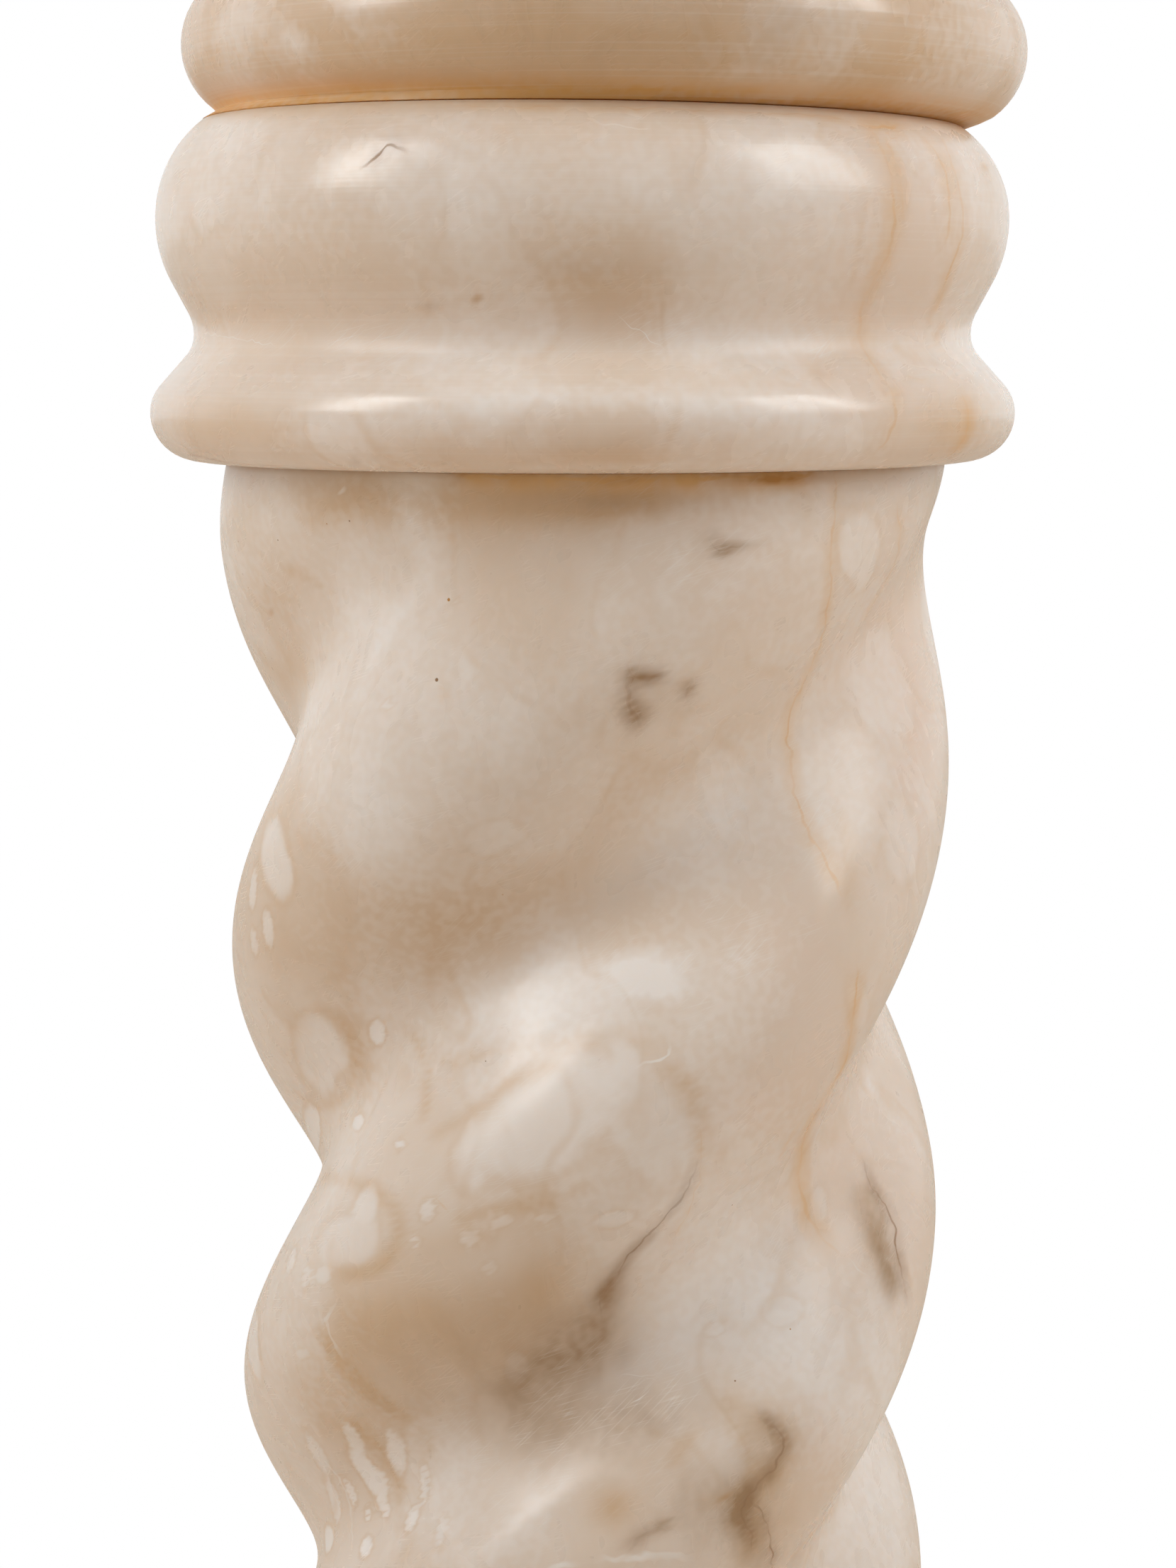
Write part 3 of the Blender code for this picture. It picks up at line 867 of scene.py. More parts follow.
# The pale oval at (715, 2171), along the lower ridge, is a painted highlight. The ovals at (905,
# 1378), (884, 1362), (925, 1390), (770, 1420) and (650, 1440) are milky stone with a painted
# highlight in them.
shaft_marks.soft(shaft_marks.tone, "pale", (
    (325, 800, 45, 60, 0, 0.55), (387, 715, 28, 34, 0, 0.50), (515, 868, 34, 46, 0, 0.50),
    (600, 940, 120, 80, 20, 0.22), (800, 950, 90, 60, 0, 0.20), (960, 1175, 70, 56, 10, 0.52),
    (1060, 1130, 60, 60, 0, 0.35), (520, 1150, 70, 60, 30, 0.60), (1010, 1390, 110, 110, 20, 0.60),
    (770, 1420, 50, 50, 0, 0.60), (650, 1440, 60, 50, 0, 0.40), (1049, 1664, 60, 110, -28, 0.45),
    (1100, 1900, 90, 70, 10, 0.32), (960, 1880, 70, 60, 20, 0.25), (715, 2171, 90, 30, 38, 0.65),
    (905, 1378, 48, 28, 0, 1.10), (884, 1362, 26, 16, 10, 0.40), (925, 1390, 24, 14, 0, 0.40),
    (860, 1945, 70, 26, 16, 0.25), (1230, 2020, 50, 120, 0, 0.80), (1285, 1500, 34, 110, 6, 0.45),
    (620, 2100, 60, 90, 0, 0.30), (1120, 740, 60, 60, 0, 0.25), (700, 1030, 120, 50, 20, 0.20),
))
shaft_marks.soft(shaft_marks.tone, "pink", (
    (1230, 900, 60, 160, 6, 0.60), (1290, 1060, 36, 150, 0, 0.55), (1071, 1561, 60, 44, 20, 0.55),
    (1160, 1480, 50, 90, 0, 0.40), (1180, 1640, 60, 120, 0, 0.45), (1290, 1700, 36, 140, 0, 0.45),
    (1180, 2010, 40, 110, -10, 0.55), (1060, 800, 70, 90, 0, 0.30), (960, 1740, 60, 60, 40, 0.35),
    (350, 1180, 26, 110, 0, 0.35), (360, 1880, 20, 90, 0, 0.35), (1120, 1330, 70, 70, 0, 0.30),
))
# The first smoke oval, along the top of the shaft just under the neck collar, is painted shade that
# the collar casts on the shaft.
shaft_marks.soft(shaft_marks.tone, "smoke", (
    (880, 702, 84, 18, 0, 0.36), (1020, 777, 15, 10, 0, 0.55), (1001, 758, 15, 12, 0, 0.28),
    (1052, 768, 20, 5, -6, 0.30), (901, 1013, 14, 17, 0, 0.60), (905, 955, 30, 9, -10, 0.40),
    (890, 945, 10, 10, 0, 0.30), (974, 974, 11, 16, 0, 0.42), (930, 985, 40, 34, 0, 0.14),
    (833, 1890, 56, 44, 30, 0.56), (790, 1920, 80, 44, 40, 0.46), (850, 1835, 22, 34, 0, 0.24),
    (740, 1960, 40, 50, 0, 0.18), (866, 1806, 26, 24, 0, 0.20), (1047, 2130, 20, 34, 0, 0.82),
    (1075, 2065, 26, 46, -30, 0.30), (1068, 2185, 26, 40, 0, 0.42), (1088, 2015, 34, 16, -30, 0.36),
    (1000, 2120, 60, 44, 0, 0.34), (1232, 1735, 18, 60, 20, 0.20), (1250, 1785, 14, 44, 12, 0.20),
    (932, 2154, 11, 8, 20, 0.70), (905, 2167, 24, 8, 30, 0.26), (700, 1880, 110, 40, 20, 0.16),
    (600, 1960, 130, 40, -20, 0.12), (780, 2030, 60, 40, 0, 0.22), (900, 1995, 90, 44, 10, 0.50),
    (940, 1560, 50, 60, 0, 0.10),
))
shaft_marks.bands(shaft_marks.tone, "tan", (
    (1.5, 0.50, ((394, 801), (429, 811), (471, 844), (485, 889))),
    (1.5, 0.30, ((421, 1053), (450, 1023), (471, 988))),
    (1.5, 0.65, ((572, 1440), (595, 1480), (602, 1520), (598, 1585))),
    (1.6, 0.40, ((600, 1608), (685, 1558), (760, 1488), (820, 1452))),
    (1.6, 0.50, ((637, 1723), (685, 1707), (740, 1699), (800, 1688), (850, 1655))),
    (2.0, 0.90, ((925, 1500), (959, 1524), (979, 1550), (986, 1590), (980, 1640))),
    (1.6, 0.65, ((987, 2002), (976, 2022), (959, 2044), (950, 2072))),
    (1.6, 0.75, ((446, 1870), (477, 1918), (516, 1960), (544, 1980), (587, 2011))),
    (1.8, 0.85, ((488, 2000), (533, 2039), (561, 2087), (575, 2125))),
    (1.5, 0.70, ((589, 2011), (603, 2039), (606, 2070))),
    (1.6, 0.40, ((560, 2212), (575, 2185), (590, 2160))),
    (1.2, 0.35, ((1102, 1572), (1034, 1614), (998, 1664), (985, 1720))),
    (2.0, 0.60, ((612, 1470), (640, 1500), (690, 1480), (740, 1470), (800, 1462), (860, 1470))),
    (1.6, 0.60, ((452, 1660), (500, 1668), (552, 1700), (560, 1750), (530, 1790), (470, 1800))),
    (1.6, 0.50, ((402, 1520), (440, 1560), (480, 1550), (500, 1500), (480, 1440), (440, 1420))),
    (3.0, 0.60, ((1216, 1660), (1234, 1740), (1248, 1790), (1264, 1840))),
    (3.0, 0.50, ((1040, 2008), (1090, 2010), (1112, 2040), (1100, 2070), (1062, 2110),
                 (1062, 2200))),
    (1.5, 0.45, ((1000, 2000), (1040, 2030), (1060, 2070), (1030, 2110), (980, 2120))),
    (1.6, 0.35, ((1150, 1060), (1180, 1130), (1200, 1210), (1195, 1290))),
))
shaft_marks.bands(shaft_marks.tone, "pale", (
    (1.6, 0.60, ((1217, 1502), (1233, 1545), (1260, 1576), (1276, 1594))),
    (2.0, 0.40, ((560, 700), (600, 800), (540, 900), (500, 1000))),
))
shaft_marks.bands(shaft_marks.tone, "smoke", (
    (2.2, 0.28, ((925, 1732), (892, 1763), (866, 1806), (847, 1840))),
    (1.6, 0.35, ((1222, 1660), (1240, 1700), (1255, 1760), (1270, 1820))),
    (3.0, 0.42, ((1216, 1670), (1234, 1730), (1248, 1780), (1266, 1840))),
    (1.2, 0.55, ((888, 950), (886, 970), (886, 986), (892, 1004), (902, 1020))),
    (1.2, 0.40, ((880, 940), (895, 953), (915, 956), (940, 950))),
    (1.2, 0.32, ((984, 962), (972, 972), (968, 990))),
    (1.2, 0.30, ((1001, 758), (1016, 776), (1052, 767))),
    (1.6, 0.16, ((1106, 2036), (1096, 2061), (1071, 2092), (1047, 2123), (1052, 2150))),
))
shaft_marks.cells((
    (1219, 776, 27, 55, 0, 0.40), (1240, 960, 50, 84, 6, 0.26), (1275, 1187, 26, 60, 0, 0.30),
    (388, 1214, 22, 55, 0, 0.70), (357, 1254, 6, 34, -4, 0.70), (377, 1308, 8, 30, 4, 0.70),
    (358, 1327, 6, 22, 6, 0.60), (447, 1488, 36, 56, 6, 0.62),
    (533, 1456, 11, 16, 0, 1.00), (443, 1594, 11, 38, 8, 0.90), (505, 1583, 7, 12, -10, 0.90),
    (564, 1614, 7, 9, -10, 0.80), (603, 1706, 13, 18, 0, 0.60), (586, 1751, 7, 14, 20, 0.60),
    (662, 1746, 13, 12, 0, 0.45), (710, 1723, 18, 8, 20, 0.45), (690, 1788, 11, 11, 0, 0.30),
    (513, 1706, 18, 30, -14, 0.62), (488, 1748, 46, 40, 20, 0.45), (455, 1799, 10, 13, 0, 0.50),
    (432, 1802, 5, 18, -4, 0.60), (411, 1777, 5, 20, -12, 0.60), (780, 1574, 148, 62, 30, 0.62),
    (918, 1590, 60, 82, 20, 0.30), (945, 1591, 13, 15, 0, 0.60), (936, 1610, 8, 8, 0, 0.40),
    (920, 1634, 20, 18, 0, 0.40), (866, 1721, 28, 12, 8, 0.50), (771, 1718, 14, 7, 10, 0.35),
    (518, 2075, 14, 36, 28, 1.00), (496, 2104, 6, 26, 22, 0.90), (560, 2050, 13, 40, 12, 0.85),
    (582, 2143, 8, 22, -18, 1.00), (545, 2129, 5, 14, 0, 0.90), (519, 2135, 5, 14, 8, 0.90),
    (464, 2173, 6, 20, 0, 1.00), (516, 2182, 8, 18, -14, 1.00), (356, 1890, 9, 55, 4, 0.60),
    (500, 2030, 10, 34, 30, 0.80), (540, 2100, 7, 30, -4, 0.80), (474, 2120, 6, 34, 10, 0.80),
    (600, 2095, 7, 34, -8, 0.70), (448, 2050, 8, 36, 24, 0.60), (622, 2160, 8, 26, -16, 0.50),
    (427, 1910, 9, 8, 0, 0.40), (460, 1862, 6, 14, -14, 0.40), (1106, 1850, 30, 20, 0, 0.35),
    (1155, 1701, 13, 26, 6, 0.28), (728, 1927, 16, 24, 0, 0.30), (1007, 1876, 14, 11, 10, 0.40),
    (482, 692, 6, 8, 0, 0.60), (646, 846, 7, 6, 0, 0.50), (672, 876, 8, 5, 20, 0.50),
    (546, 994, 6, 9, 0, 0.60), (700, 1180, 40, 22, 20, 0.25), (1212, 1420, 14, 40, 10, 0.22),
))
shaft_marks.soft(shaft_marks.mark, "scratch", (
    (980, 800, 120, 80, 0, 0.55), (1050, 1330, 150, 80, 0, 0.55), (880, 1400, 110, 50, 0, 0.50),
    (700, 1600, 90, 50, 38, 0.60), (870, 1960, 130, 80, 10, 0.60), (720, 2060, 80, 70, 0, 0.45),
    (1000, 1960, 70, 40, 0, 0.35), (640, 1300, 90, 60, 0, 0.30), (740, 1680, 200, 60, 20, 0.25),
    (1165, 1110, 50, 80, 0, 0.60),
))
shaft_marks.soft(shaft_marks.mark, "stain_and_glow", (
    (650, 672, 10, 5, 0, 0.60), (734, 674, 30, 3, 0, 0.60), (873, 677, 40, 3, 0, 0.60),
    (1085, 673, 70, 6, 0, 0.90), (1096, 678, 16, 5, 0, 0.60), (866, 2126, 22, 16, 10, 0.12),
    (1022, 2112, 5, 4, 0, 0.45), (383, 865, 2, 2, 0, 0.60), (1166, 861, 4, 6, 0, 0.30),
))
shaft_marks.photo_lines("gold", (
    (0.45, 0.55, ((1173, 664), (1179, 685), (1177, 732), (1173, 776), (1172, 835), (1166, 861),
                  (1162, 893), (1148, 931), (1128, 975), (1113, 1010), (1110, 1040), (1115, 1061),
                  (1118, 1107), (1129, 1147), (1139, 1174), (1158, 1201), (1174, 1233),
                  (1188, 1268))),
    (0.60, 0.80, ((1209, 1361), (1208, 1398), (1202, 1441), (1196, 1484), (1187, 1509),
                  (1162, 1552), (1138, 1595), (1130, 1634), (1127, 1674), (1133, 1695),
                  (1144, 1720), (1165, 1751), (1184, 1772))),
    (0.30, 0.60, ((612, 1687), (621, 1697), (634, 1712))),
    (0.25, 0.35, ((1180, 2123), (1147, 2162), (1113, 2204))),
    (0.25, 0.80, ((616, 966), (619, 971), (625, 969), (628, 976), (624, 983), (619, 979),
                  (619, 971))),
))
shaft_marks.photo_lines("gold_by", (
    (0.45, 0.50, ((1263, 708), (1269, 741), (1266, 782), (1251, 817), (1231, 852), (1216, 879))),
    (0.25, 0.35, ((1138, 1572), (1113, 1608), (1094, 1648))),
    (0.25, 0.30, ((986, 1590), (990, 1640), (975, 1700), (940, 1760))),
    (0.60, 1.30, ((640, 671), (700, 673), (873, 676), (1016, 674), (1152, 668))),
))
shaft_marks.photo_lines("crack", (
    (0.50, 0.60, ((880, 937), (892, 951), (908, 956), (937, 951), (944, 945))),
    (0.40, 0.50, ((980, 962), (970, 970), (968, 988))),
    (0.32, 0.55, ((987, 1631), (973, 1667), (964, 1687), (948, 1707), (931, 1723), (914, 1746),
                  (892, 1763), (880, 1782), (863, 1810), (847, 1830), (849, 1862))),
    (0.38, 0.75, ((1051, 2000), (1077, 2002), (1096, 2019), (1106, 2036), (1096, 2061),
                  (1088, 2078), (1071, 2092), (1057, 2109), (1047, 2123), (1051, 2145),
                  (1060, 2165), (1062, 2193))),
    (0.40, 0.80, ((1216, 1634), (1227, 1671), (1245, 1695), (1260, 1726), (1266, 1763),
                  (1273, 1803), (1279, 1833), (1280, 1850))),
    (0.50, 0.55, ((931, 2154), (908, 2165), (892, 2182), (880, 2193))),
))
shaft_marks.photo_lines("crack_by", (
    (0.60, 0.70, ((889, 953), (886, 970), (886, 986), (892, 1004), (900, 1018), (908, 1023))),
    (0.35, 0.75, ((1057, 2112), (1074, 2137), (1084, 2157), (1088, 2185), (1091, 2211))),
    (0.25, 0.30, ((1000, 758), (1016, 776), (1052, 767))),
))
shaft_marks.photo_lines("scuff", (
    (0.95, 1.30, ((770, 2213), (813, 2203), (852, 2200), (890, 2200))),
    (1.10, 1.30, ((872, 2199), (936, 2196), (980, 2197))),
    (0.40, 0.90, ((890, 1508), (920, 1499), (942, 1490), (948, 1476), (940, 1468))),
    (0.55, 0.35, ((455, 2058), (480, 2089), (494, 2129), (497, 2185))),
    (0.55, 0.30, ((477, 1834), (460, 1862), (477, 1904), (510, 1945))),
    (0.55, 0.35, ((480, 1660), (500, 1630), (530, 1600))),
    (0.50, 0.35, ((500, 1640), (470, 1680), (445, 1730))),
    (0.60, 0.35, ((1186, 1530), (1165, 1570), (1145, 1625))),
    (0.15, 0.60, ((869, 1943), (936, 1936))),
    (0.15, 0.60, ((883, 1986), (922, 1957))),
    (0.20, 0.50, ((1175, 2089), (1155, 2123))),
    (0.30, 0.45, ((1195, 1773), (1210, 1788), (1226, 1803))),
    (0.30, 0.45, ((1053, 2158), (1066, 2157), (1072, 2152))),
))
RESIDUE_BELOW = 1.6 * MM
RESIDUE_FADE = 1.2 * MM
RESIDUE_DEPTH = 0.50
above_residue = shaft_marks.points[:, 2] - shaft_high.z + RESIDUE_BELOW
shaft_marks.mark["stain_and_glow"] += RESIDUE_DEPTH * np.clip(above_residue / RESIDUE_FADE, 0, 1)
BEHIND = (-0.15, math.pi + 0.15)
BEFORE = (math.pi, TURN)
CLOUDS_A_SIDE = 6
CLOUD_REACH = 0.030
CLOUD_WIDTH = (5, 12)
CLOUD_DEPTH = 0.4
shaft_dice = np.random.default_rng(SHAFT_SEED)
shaft_marks.grow(shaft_dice, BEHIND, (0.04, shaft_length), veins=22, cells=60)
shaft_marks.grow(shaft_dice, BEFORE, (0.02, 0.27), veins=10, cells=26)
for bearings, levels in ((BEHIND, (0.03, 0.60)), (BEFORE, (0.03, 0.26))):
    for _ in range(CLOUDS_A_SIDE):
        path = shaft_marks.wander(shaft_dice, bearings, levels)
        near, away, _, fade = shaft_marks.nearest(path, CLOUD_REACH)
        wide = shaft_dice.uniform(*CLOUD_WIDTH) * MM
        name = ("tan", "smoke", "pale")[int(shaft_dice.integers(3))]
        shaft_marks.tone[name][near] += CLOUD_DEPTH * fade * np.exp(-(away / wide) ** 2)
shaft_marks.keep()
shaft_pins = [
    (shaft_marks.seen(pixel), size, ink) for pixel, size, ink in (
        ((633, 846), 0.40, RUST), ((616, 959), 0.45, FISSURE), ((493, 735), 0.22, FISSURE),
        ((392, 762), 0.20, FISSURE), ((336, 764), 0.20, FISSURE), ((461, 739), 0.18, RUST),
        ((1037, 1948), 0.22, FISSURE), ((709, 1262), 0.25, TAN), ((685, 1497), 0.18, FISSURE),
        ((1115, 1875), 0.20, RUST), ((1033, 1700), 0.18, SMOKE),
    )
]
shaft.data.materials.append(alabaster("shaft alabaster", gloss=0.27, scratches=0.10,
                                      hairlines=0.0, pins=shaft_pins))
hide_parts("twisted_shaft")
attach(shaft, "root")

# The neck collar
# The same moulding in alabaster, turned from one block and set ring downwards on the shaft.
# Its upper bed leans a little to the right, and the capital leans with it.
neck_low, neck_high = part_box("neck_collar")
LEAN = math.radians(0.6)
NECK_SEED = 83
NECK_PALER = 0.10
NECK_JOINT_GLOW = 0.35
NECK_JOINT_GLOW_WIDTH = 2.0 * MM
neck_centre = (neck_low.x + neck_high.x) / 2


def on_neck(bearing, row):
    """Point of the neck collar: the turned moulding, its shoulder sheared down to the right."""
    x, y, z = np.moveaxis(on_lathe(collar_profile, bearing, row), -1, 0)
    share = np.clip((z - belly_crest[1]) / SHOULDER_RISE, 0, 1)
    z = z - share * math.tan(LEAN) * x
    return np.stack([neck_centre + x, y, neck_low.z + z], -1)


row, side = np.meshgrid(np.arange(len(collar_profile)), np.arange(COLLAR_SIDES), indexing="ij")
neck_rings = uneven(on_neck(side * TURN / COLLAR_SIDES, row), *COLLAR_UNEVENNESS, NECK_SEED)
neck_collar = skin("neck_collar_stone", neck_rings)
neck_marks = Stone(neck_collar, on_neck)
neck_marks.soft(neck_marks.tone, "tan", (
    (674, 420, 28, 18, 0, 0.40), (620, 440, 26, 12, 0, 0.25), (850, 405, 200, 40, 0, 0.50),
    (290, 603, 70, 28, 0, 0.30), (960, 646, 140, 9, 0, 0.35), (640, 652, 260, 12, 0, 0.25),
    (1200, 500, 60, 30, 0, 0.20), (300, 440, 40, 30, 0, 0.25), (1350, 600, 50, 30, 0, 0.45),
    (1000, 170, 120, 14, 0, 0.20), (850, 330, 100, 24, 0, 0.25), (1150, 530, 40, 20, 30, 0.30),
))
neck_marks.soft(neck_marks.tone, "pale", (
    (700, 250, 260, 60, 0, 0.40), (830, 560, 300, 20, 0, 0.62), (670, 622, 12, 9, 0, 0.45),
    (650, 166, 16, 12, 0, 0.45), (1110, 240, 60, 40, 0, 0.35), (420, 300, 90, 60, 0, 0.20),
    (560, 520, 200, 20, 0, 0.25), (1050, 480, 120, 20, 0, 0.25),
))
neck_marks.tone["pale"] += NECK_PALER
neck_marks.soft(neck_marks.tone, "pink", (
    (1310, 300, 80, 150, 0, 0.50), (1220, 560, 120, 36, 0, 0.40), (240, 560, 40, 40, 0, 0.30),
    (1150, 330, 70, 90, 0, 0.30), (320, 250, 60, 70, 0, 0.15),
))
neck_marks.soft(neck_marks.tone, "smoke", (
    (1415, 627, 5, 6, 0, 0.80), (500, 652, 6, 5, 0, 0.35), (607, 432, 12, 6, 0, 0.20),
    (674, 421, 7, 5, 0, 0.40), (1326, 474, 5, 6, 0, 0.25), (850, 378, 120, 20, 0, 0.10),
))
neck_marks.soft(neck_marks.mark, "stain_and_glow", (
    (1152, 525, 30, 10, -32, 0.20), (1321, 474, 4, 5, 0, 0.60), (1329, 458, 4, 4, 0, 0.50),
    (1389, 236, 4, 5, 0, 0.50), (674, 420, 5, 5, 0, 0.50), (328, 437, 7, 5, 0, 0.25),
    (1250, 176, 30, 5, 0, 0.35), (290, 610, 70, 30, 0, 0.05), (1360, 590, 24, 50, 0, 0.14),
    (800, 648, 300, 10, 0, 0.12), (1260, 560, 40, 40, 0, 0.10),
))
# Painted glow of light through the stone, in the amber stain colour, along the top of the neck
# collar where the capital sits.
neck_top = neck_low.z + collar_height - neck_marks.points[:, 0] * math.tan(LEAN)
below_top = (neck_top - neck_marks.points[:, 2]) / NECK_JOINT_GLOW_WIDTH
neck_marks.mark["stain_and_glow"] += NECK_JOINT_GLOW * np.exp(-below_top ** 2)
neck_marks.soft(neck_marks.mark, "scratch", (
    (900, 450, 120, 30, 0, 0.45), (340, 478, 60, 16, 0, 0.45), (1390, 460, 30, 30, 0, 0.50),
    (540, 482, 130, 22, 0, 0.90), (1110, 486, 150, 22, 0, 0.90),
    (1160, 240, 50, 40, 0, 0.30),
))
neck_marks.photo_lines("gold", (
    (0.60, 0.45, ((1228, 182), (1244, 210), (1254, 242), (1260, 271), (1261, 328), (1254, 350),
                  (1241, 383), (1225, 412), (1214, 439), (1213, 471), (1217, 493), (1233, 514),
                  (1244, 533), (1257, 554), (1262, 584), (1256, 613), (1235, 640))),
    (0.60, 0.50, ((1289, 183), (1314, 207), (1327, 226), (1337, 265), (1340, 300), (1336, 335),
                  (1331, 362))),
    (0.65, 0.80, ((1356, 554), (1364, 571), (1366, 592), (1361, 616), (1348, 635), (1329, 648))),
    (0.25, 0.40, ((640, 150), (905, 153), (991, 155), (1113, 161), (1174, 166), (1206, 175))),
))
neck_marks.photo_lines("gold_by", (
    (0.50, 0.40, ((1247, 188), (1262, 223), (1271, 255), (1274, 319))),
    (0.60, 0.50, ((1327, 191), (1340, 223), (1353, 265), (1358, 293), (1358, 328), (1353, 346),
                  (1343, 375), (1329, 412), (1316, 450))),
    (0.25, 0.30, ((1268, 530), (1300, 535), (1329, 538))),
    (0.30, 0.45, ((1350, 562), (1352, 580), (1351, 597))),
    (0.60, 0.80, ((1206, 175), (1238, 180), (1270, 175))),
))
neck_marks.photo_lines("crack_by", (
    (0.16, 0.50, ((264, 640), (330, 654), (423, 660))),
    (0.45, 0.80, ((508, 238), (520, 236), (534, 214), (539, 207), (555, 204), (587, 219))),
    (0.20, 0.30, ((599, 428), (615, 437))),
))
neck_marks.photo_lines("scuff", (
    (0.15, 0.50, ((863, 437), (890, 458), (917, 479), (943, 495))),
    (0.15, 0.40, ((286, 470), (340, 478), (391, 488))),
    (0.30, 0.30, ((825, 166), (870, 178), (927, 182))),
    (0.50, 0.35, ((1412, 592), (1418, 612), (1413, 634))),
    (0.15, 0.60, ((790, 506), (808, 506))),
))
neck_dice = np.random.default_rng(NECK_SEED)
neck_marks.grow(neck_dice, BEHIND, marked_rows, veins=12, cells=16)
neck_marks.keep()
neck_stone = alabaster("neck collar alabaster", gloss=0.25, scratches=0.08, hairlines=0.07,
                       stain_and_glow_ink=AMBER)
neck_collar.data.materials.append(neck_stone)
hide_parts("neck_collar")
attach(neck_collar, "root")

# The capital
# A bead, a short neck and a round slab of alabaster, turned as one piece that leans with its
# bed. The open edge of the joint is filled with old bedding, and a painted glow of light through
# the stone runs amber along the joint.
CAPITAL_SIDES = 320
CAPITAL_GRID = 0.0018
CAPITAL_SHIFT = 0.0034
CAPITAL_BEAD_RADIUS = 0.0850
CAPITAL_BEAD_ARC = 0.0148
CAPITAL_BEAD_HEIGHT = 0.0145
NECK_RADIUS = 0.0765
NECK_RISE = 0.0180
NECK_ARC = 0.0050
FLARE_ARC = 0.0300
FLARE = math.radians(72.0)
CAPITAL_SLAB_RADIUS = 0.1200
CAPITAL_SLAB_THICKNESS = 0.0300
CAPITAL_SLAB_ROUNDING = 0.0050
BED_GAP = 0.0003
CAPITAL_SEED = 12
BEDDING_RADIUS = 0.0768
BEDDING_ANGLE = math.radians(-61)
BEDDING_DEPTH = 0.0018
JOINT_GLOW = 0.95
JOINT_GLOW_WIDTH = 3.2 * MM
CAPITAL_TAN = 0.55
CAPITAL_SMOKE = 0.05
neck_height = CAPITAL_BEAD_HEIGHT + NECK_RISE
capital_rounds = (
    (BEAD, (CAPITAL_BEAD_RADIUS, CAPITAL_BEAD_HEIGHT), CAPITAL_BEAD_ARC, CAPITAL_BEAD_ARC),
    (HOLLOW, (NECK_RADIUS, neck_height), NECK_ARC, FLARE_ARC),
)
capital_slab_bottom = neck_height + FLARE_ARC * math.sin(FLARE)
capital_outline = np.concatenate([
    [[BEDDING_RADIUS, 0.0]],
    moulding(capital_rounds, BEDDING_ANGLE, FLARE),
    slab(CAPITAL_SLAB_RADIUS, capital_slab_bottom, CAPITAL_SLAB_THICKNESS, CAPITAL_SLAB_ROUNDING),
])
capital_profile = spaced(capital_outline, CAPITAL_GRID)
bed_drop = math.tan(LEAN) * (CAPITAL_SHIFT - neck_centre)
bed_height = neck_low.z + collar_height + BED_GAP - bed_drop


def on_capital(bearing, row):
    """Point of the capital: the turned outline, tipped to the right by the lean about its bed.

    The bedding at its foot is drawn back over the collar's middle.
    """
    x, y, z = np.moveaxis(on_lathe(capital_profile, bearing, row), -1, 0)
    drawn_back = (CAPITAL_SHIFT - neck_centre) * np.clip(1 - z / BEDDING_DEPTH, 0, 1)
    return np.stack([
        CAPITAL_SHIFT - drawn_back + x * math.cos(LEAN) + z * math.sin(LEAN),
        y,
        bed_height - x * math.sin(LEAN) + z * math.cos(LEAN),
    ], -1)


row, side = np.meshgrid(np.arange(len(capital_profile)), np.arange(CAPITAL_SIDES), indexing="ij")
capital_rings = on_capital(side * TURN / CAPITAL_SIDES, row)
capital_rings = uneven(capital_rings, *COLLAR_UNEVENNESS, CAPITAL_SEED)
capital = skin("capital_stone", capital_rings)
capital_marks = Stone(capital, on_capital)
capital_marks.soft(capital_marks.tone, "tan", (
    (830, 80, 260, 46, 0, 0.55), (520, 110, 140, 26, 0, 0.35), (1150, 110, 160, 30, 0, 0.45),
    (1330, 90, 40, 50, 0, 0.30), (330, 110, 60, 30, 0, 0.25),
))
capital_marks.soft(capital_marks.tone, "smoke", (
    (830, 60, 260, 60, 0, 0.12), (1100, 40, 50, 60, 0, 0.12),
))
capital_marks.soft(capital_marks.tone, "pale", (
    (380, 40, 80, 40, 0, 0.25), (411, 59, 18, 16, 0, 0.60), (1270, 50, 60, 40, 0, 0.15),
))
# The long oval along the joint at (861, 134) is painted glow of light through the stone; the other
# two are stains.
capital_marks.soft(capital_marks.mark, "stain_and_glow", (
    (861, 134, 160, 8, 0, 0.50), (461, 10, 2, 2, 0, 0.60), (290, 100, 40, 50, 0, 0.12),
))
# Painted glow of light through the stone, in the amber stain colour, along the capital's joint with
# the neck collar.
above_joint = capital_marks.points[:, 2] + capital_marks.points[:, 0] * math.tan(LEAN) - bed_height
joint_glow_share = np.exp(-(above_joint / JOINT_GLOW_WIDTH) ** 2)
capital_marks.mark["stain_and_glow"] += JOINT_GLOW * joint_glow_share
capital_marks.tone["tan"] += CAPITAL_TAN
capital_marks.tone["smoke"] += CAPITAL_SMOKE
back_dice = np.random.default_rng(CAPITAL_SEED)
front_dice = np.random.default_rng(CAPITAL_SEED + 1)
capital_marks.grow(back_dice, BEHIND, (40, len(capital_profile)), veins=16, cells=20)
capital_marks.grow(front_dice, BEFORE, (70, len(capital_profile)), veins=12, cells=12)
capital_marks.keep()
capital_stone = alabaster("capital alabaster", gloss=0.26, scratches=0.08, hairlines=0.10,
                          stain_and_glow_ink=AMBER)
capital.data.materials.append(capital_stone)
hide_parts("capital")
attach(capital, "root")

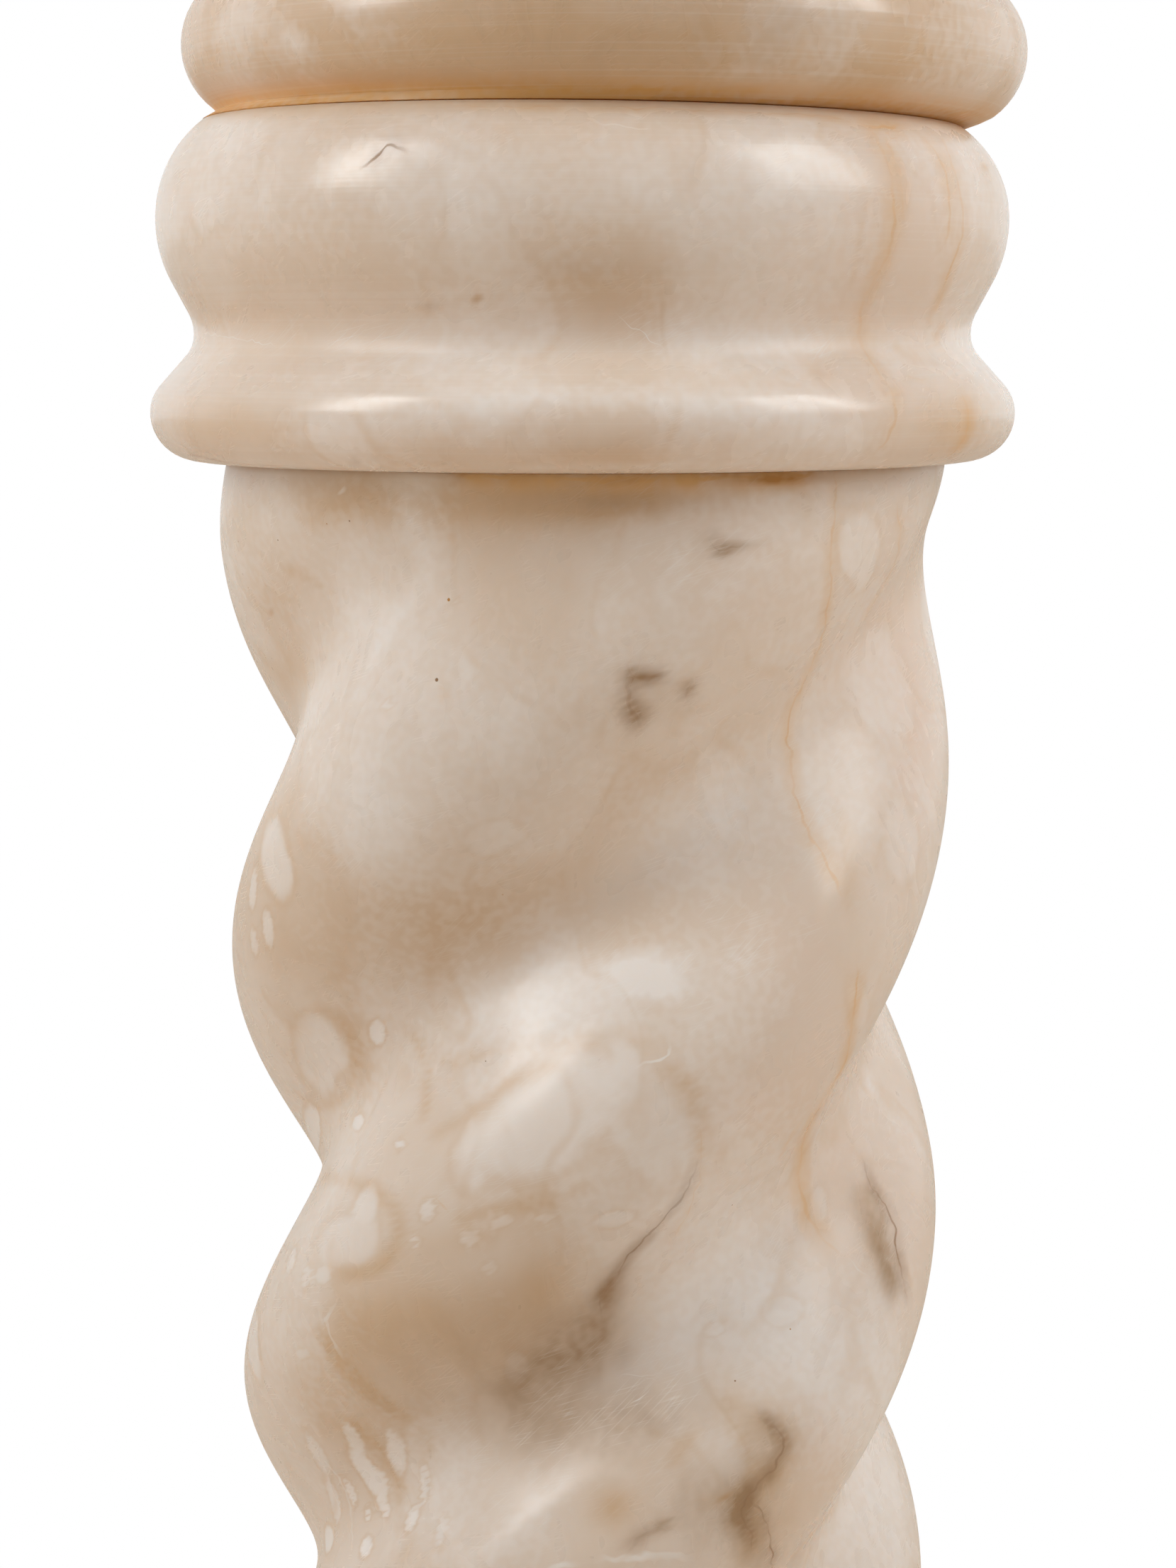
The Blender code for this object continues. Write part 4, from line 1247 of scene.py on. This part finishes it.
# The floor
# A wide pale studio floor under the column. It is white further off, as a lit backdrop is,
# and takes the column's soft shade near the foot.
FLOOR_REACH = 12.0
FLOOR_PAINT = (0.90, 0.76, 0.62, 1)
FLOOR_ROUGHNESS = 0.8
SHADE_NEAR = 0.15
SHADE_FAR = 1.2
NEAR_WHITE = 0.76
floor_mesh = bpy.data.meshes.new("floor")
floor_corners = [(side_x * FLOOR_REACH, side_y * FLOOR_REACH, 0)
                 for side_x, side_y in ((-1, -1), (1, -1), (1, 1), (-1, 1))]
floor_mesh.from_pydata(floor_corners, [], [(0, 1, 2, 3)])
floor = bpy.data.objects.new("floor", floor_mesh)
bpy.context.scene.collection.objects.link(floor)
floor_finish = bpy.data.materials.new("pale floor")
floor_finish.use_nodes = True
floor_tree = floor_finish.node_tree
paint = floor_tree.nodes["Principled BSDF"]
paint.inputs["Base Color"].default_value = FLOOR_PAINT
paint.inputs["Roughness"].default_value = FLOOR_ROUGHNESS
seen = add_node(floor_tree, "ShaderNodeLightPath").outputs["Is Camera Ray"]
glow = add_node(floor_tree, "ShaderNodeEmission")
spot = add_node(floor_tree, "ShaderNodeTexCoord").outputs["Object"]
far = add_node(floor_tree, "ShaderNodeVectorMath", ((0, spot),), operation="LENGTH")
share = add_node(floor_tree, "ShaderNodeMapRange", (
    ("Value", far.outputs["Value"]), ("From Min", SHADE_NEAR), ("From Max", SHADE_FAR),
    ("To Min", NEAR_WHITE), ("To Max", 1.0))).outputs[0]
share = sum_of(floor_tree, "MULTIPLY", seen, share)
pale_floor = add_node(floor_tree, "ShaderNodeMixShader",
                      ((0, share), (1, paint.outputs[0]), (2, glow.outputs[0])))
floor_tree.links.new(pale_floor.outputs[0], floor_tree.nodes["Material Output"].inputs["Surface"])
floor_mesh.materials.append(floor_finish)

# The light
# A white studio: pale all round, brighter behind and warmer from below, where the floor
# throws light back. Tall soft lights stand in pairs to the left and right of the camera.
ROOM_FRONT = 0.345
ROOM_BACK = 0.92
ROOM_TURN = (-0.5, 0.6)
WARMTH_EDGE = (0.1, -0.5)
ROOM_HUE = (0.93, 0.96, 0.97, 1)
FLOOR_HUE = (0.90, 0.74, 0.57, 1)
world = bpy.data.worlds.new("studio")
bpy.context.scene.world = world
world.use_nodes = True
room_tree = world.node_tree
room = room_tree.nodes["Background"]
direction = add_node(room_tree, "ShaderNodeTexCoord").outputs["Generated"]
axes = add_node(room_tree, "ShaderNodeSeparateXYZ", ((0, direction),)).outputs
fade = add_node(room_tree, "ShaderNodeMapRange", (
    ("Value", axes["Y"]), ("From Min", ROOM_TURN[0]), ("From Max", ROOM_TURN[1]),
    ("To Min", ROOM_FRONT), ("To Max", ROOM_BACK)))
warmth = rise(room_tree, axes["Z"], *WARMTH_EDGE)
hue = tint(room_tree, warmth, ROOM_HUE, FLOOR_HUE)
room_tree.links.new(fade.outputs[0], room.inputs["Strength"])
room_tree.links.new(hue, room.inputs["Color"])
white = add_node(room_tree, "ShaderNodeBackground", (("Color", (1, 1, 1, 1)), ("Strength", 1.0)))
seen = add_node(room_tree, "ShaderNodeLightPath").outputs["Is Camera Ray"]
studio = add_node(room_tree, "ShaderNodeMixShader",
                  ((0, seen), (1, room.outputs[0]), (2, white.outputs[0])))
room_tree.links.new(studio.outputs[0], room_tree.nodes["World Output"].inputs["Surface"])

LIGHT_DISTANCE = 1.1
LIGHT_RISE = math.radians(35)
LIGHT_HEIGHT = 0.62
LIGHT_POWER = 23.5
LIGHT_HUE = (0.93, 0.96, 0.965)
LIGHTS = {"left outer": (-67.5, 0.12, 1.0), "left inner": (-58.5, 0.11, 0.85),
          "right inner": (57.5, 0.11, 0.8), "right outer": (74.0, 0.12, 1.0)}
neck_point = Vector((0, 0, neck_low.z))
for label, (bearing_deg, width, glow_share) in LIGHTS.items():
    round_angle = math.radians(bearing_deg)
    toward = Vector((math.sin(round_angle) * math.cos(LIGHT_RISE),
                     -math.cos(round_angle) * math.cos(LIGHT_RISE), math.sin(LIGHT_RISE)))
    lamp_data = bpy.data.lights.new("soft light " + label, "AREA")
    lamp_data.shape = "RECTANGLE"
    lamp_data.size = width
    lamp_data.size_y = LIGHT_HEIGHT
    lamp_data.energy = LIGHT_POWER * width * glow_share
    lamp_data.color = LIGHT_HUE
    lamp = bpy.data.objects.new("soft light " + label, lamp_data)
    lamp.location = neck_point + toward * LIGHT_DISTANCE
    lamp.rotation_euler = toward.to_track_quat("Z", "Y").to_euler()
    bpy.context.scene.collection.objects.link(lamp)

# The camera
# Close to the neck of the column and a little above it, as the photograph was taken, with
# the height of the frame as the longer side of the sensor.
SENSOR = 36.0
NEAREST_SEEN = 0.01
camera_data = bpy.data.cameras.new("camera")
camera_data.sensor_width = SENSOR
camera_data.lens = SENSOR * FOCAL_PIXELS / PHOTO_HEIGHT
camera_data.clip_start = NEAREST_SEEN
camera = bpy.data.objects.new("camera", camera_data)
camera.location = camera_place
camera.rotation_euler = (QUARTER_TURN - CAMERA_PITCH, 0, 0)
bpy.context.scene.collection.objects.link(camera)
bpy.context.scene.camera = camera
bpy.context.scene.view_settings.view_transform = "Standard"
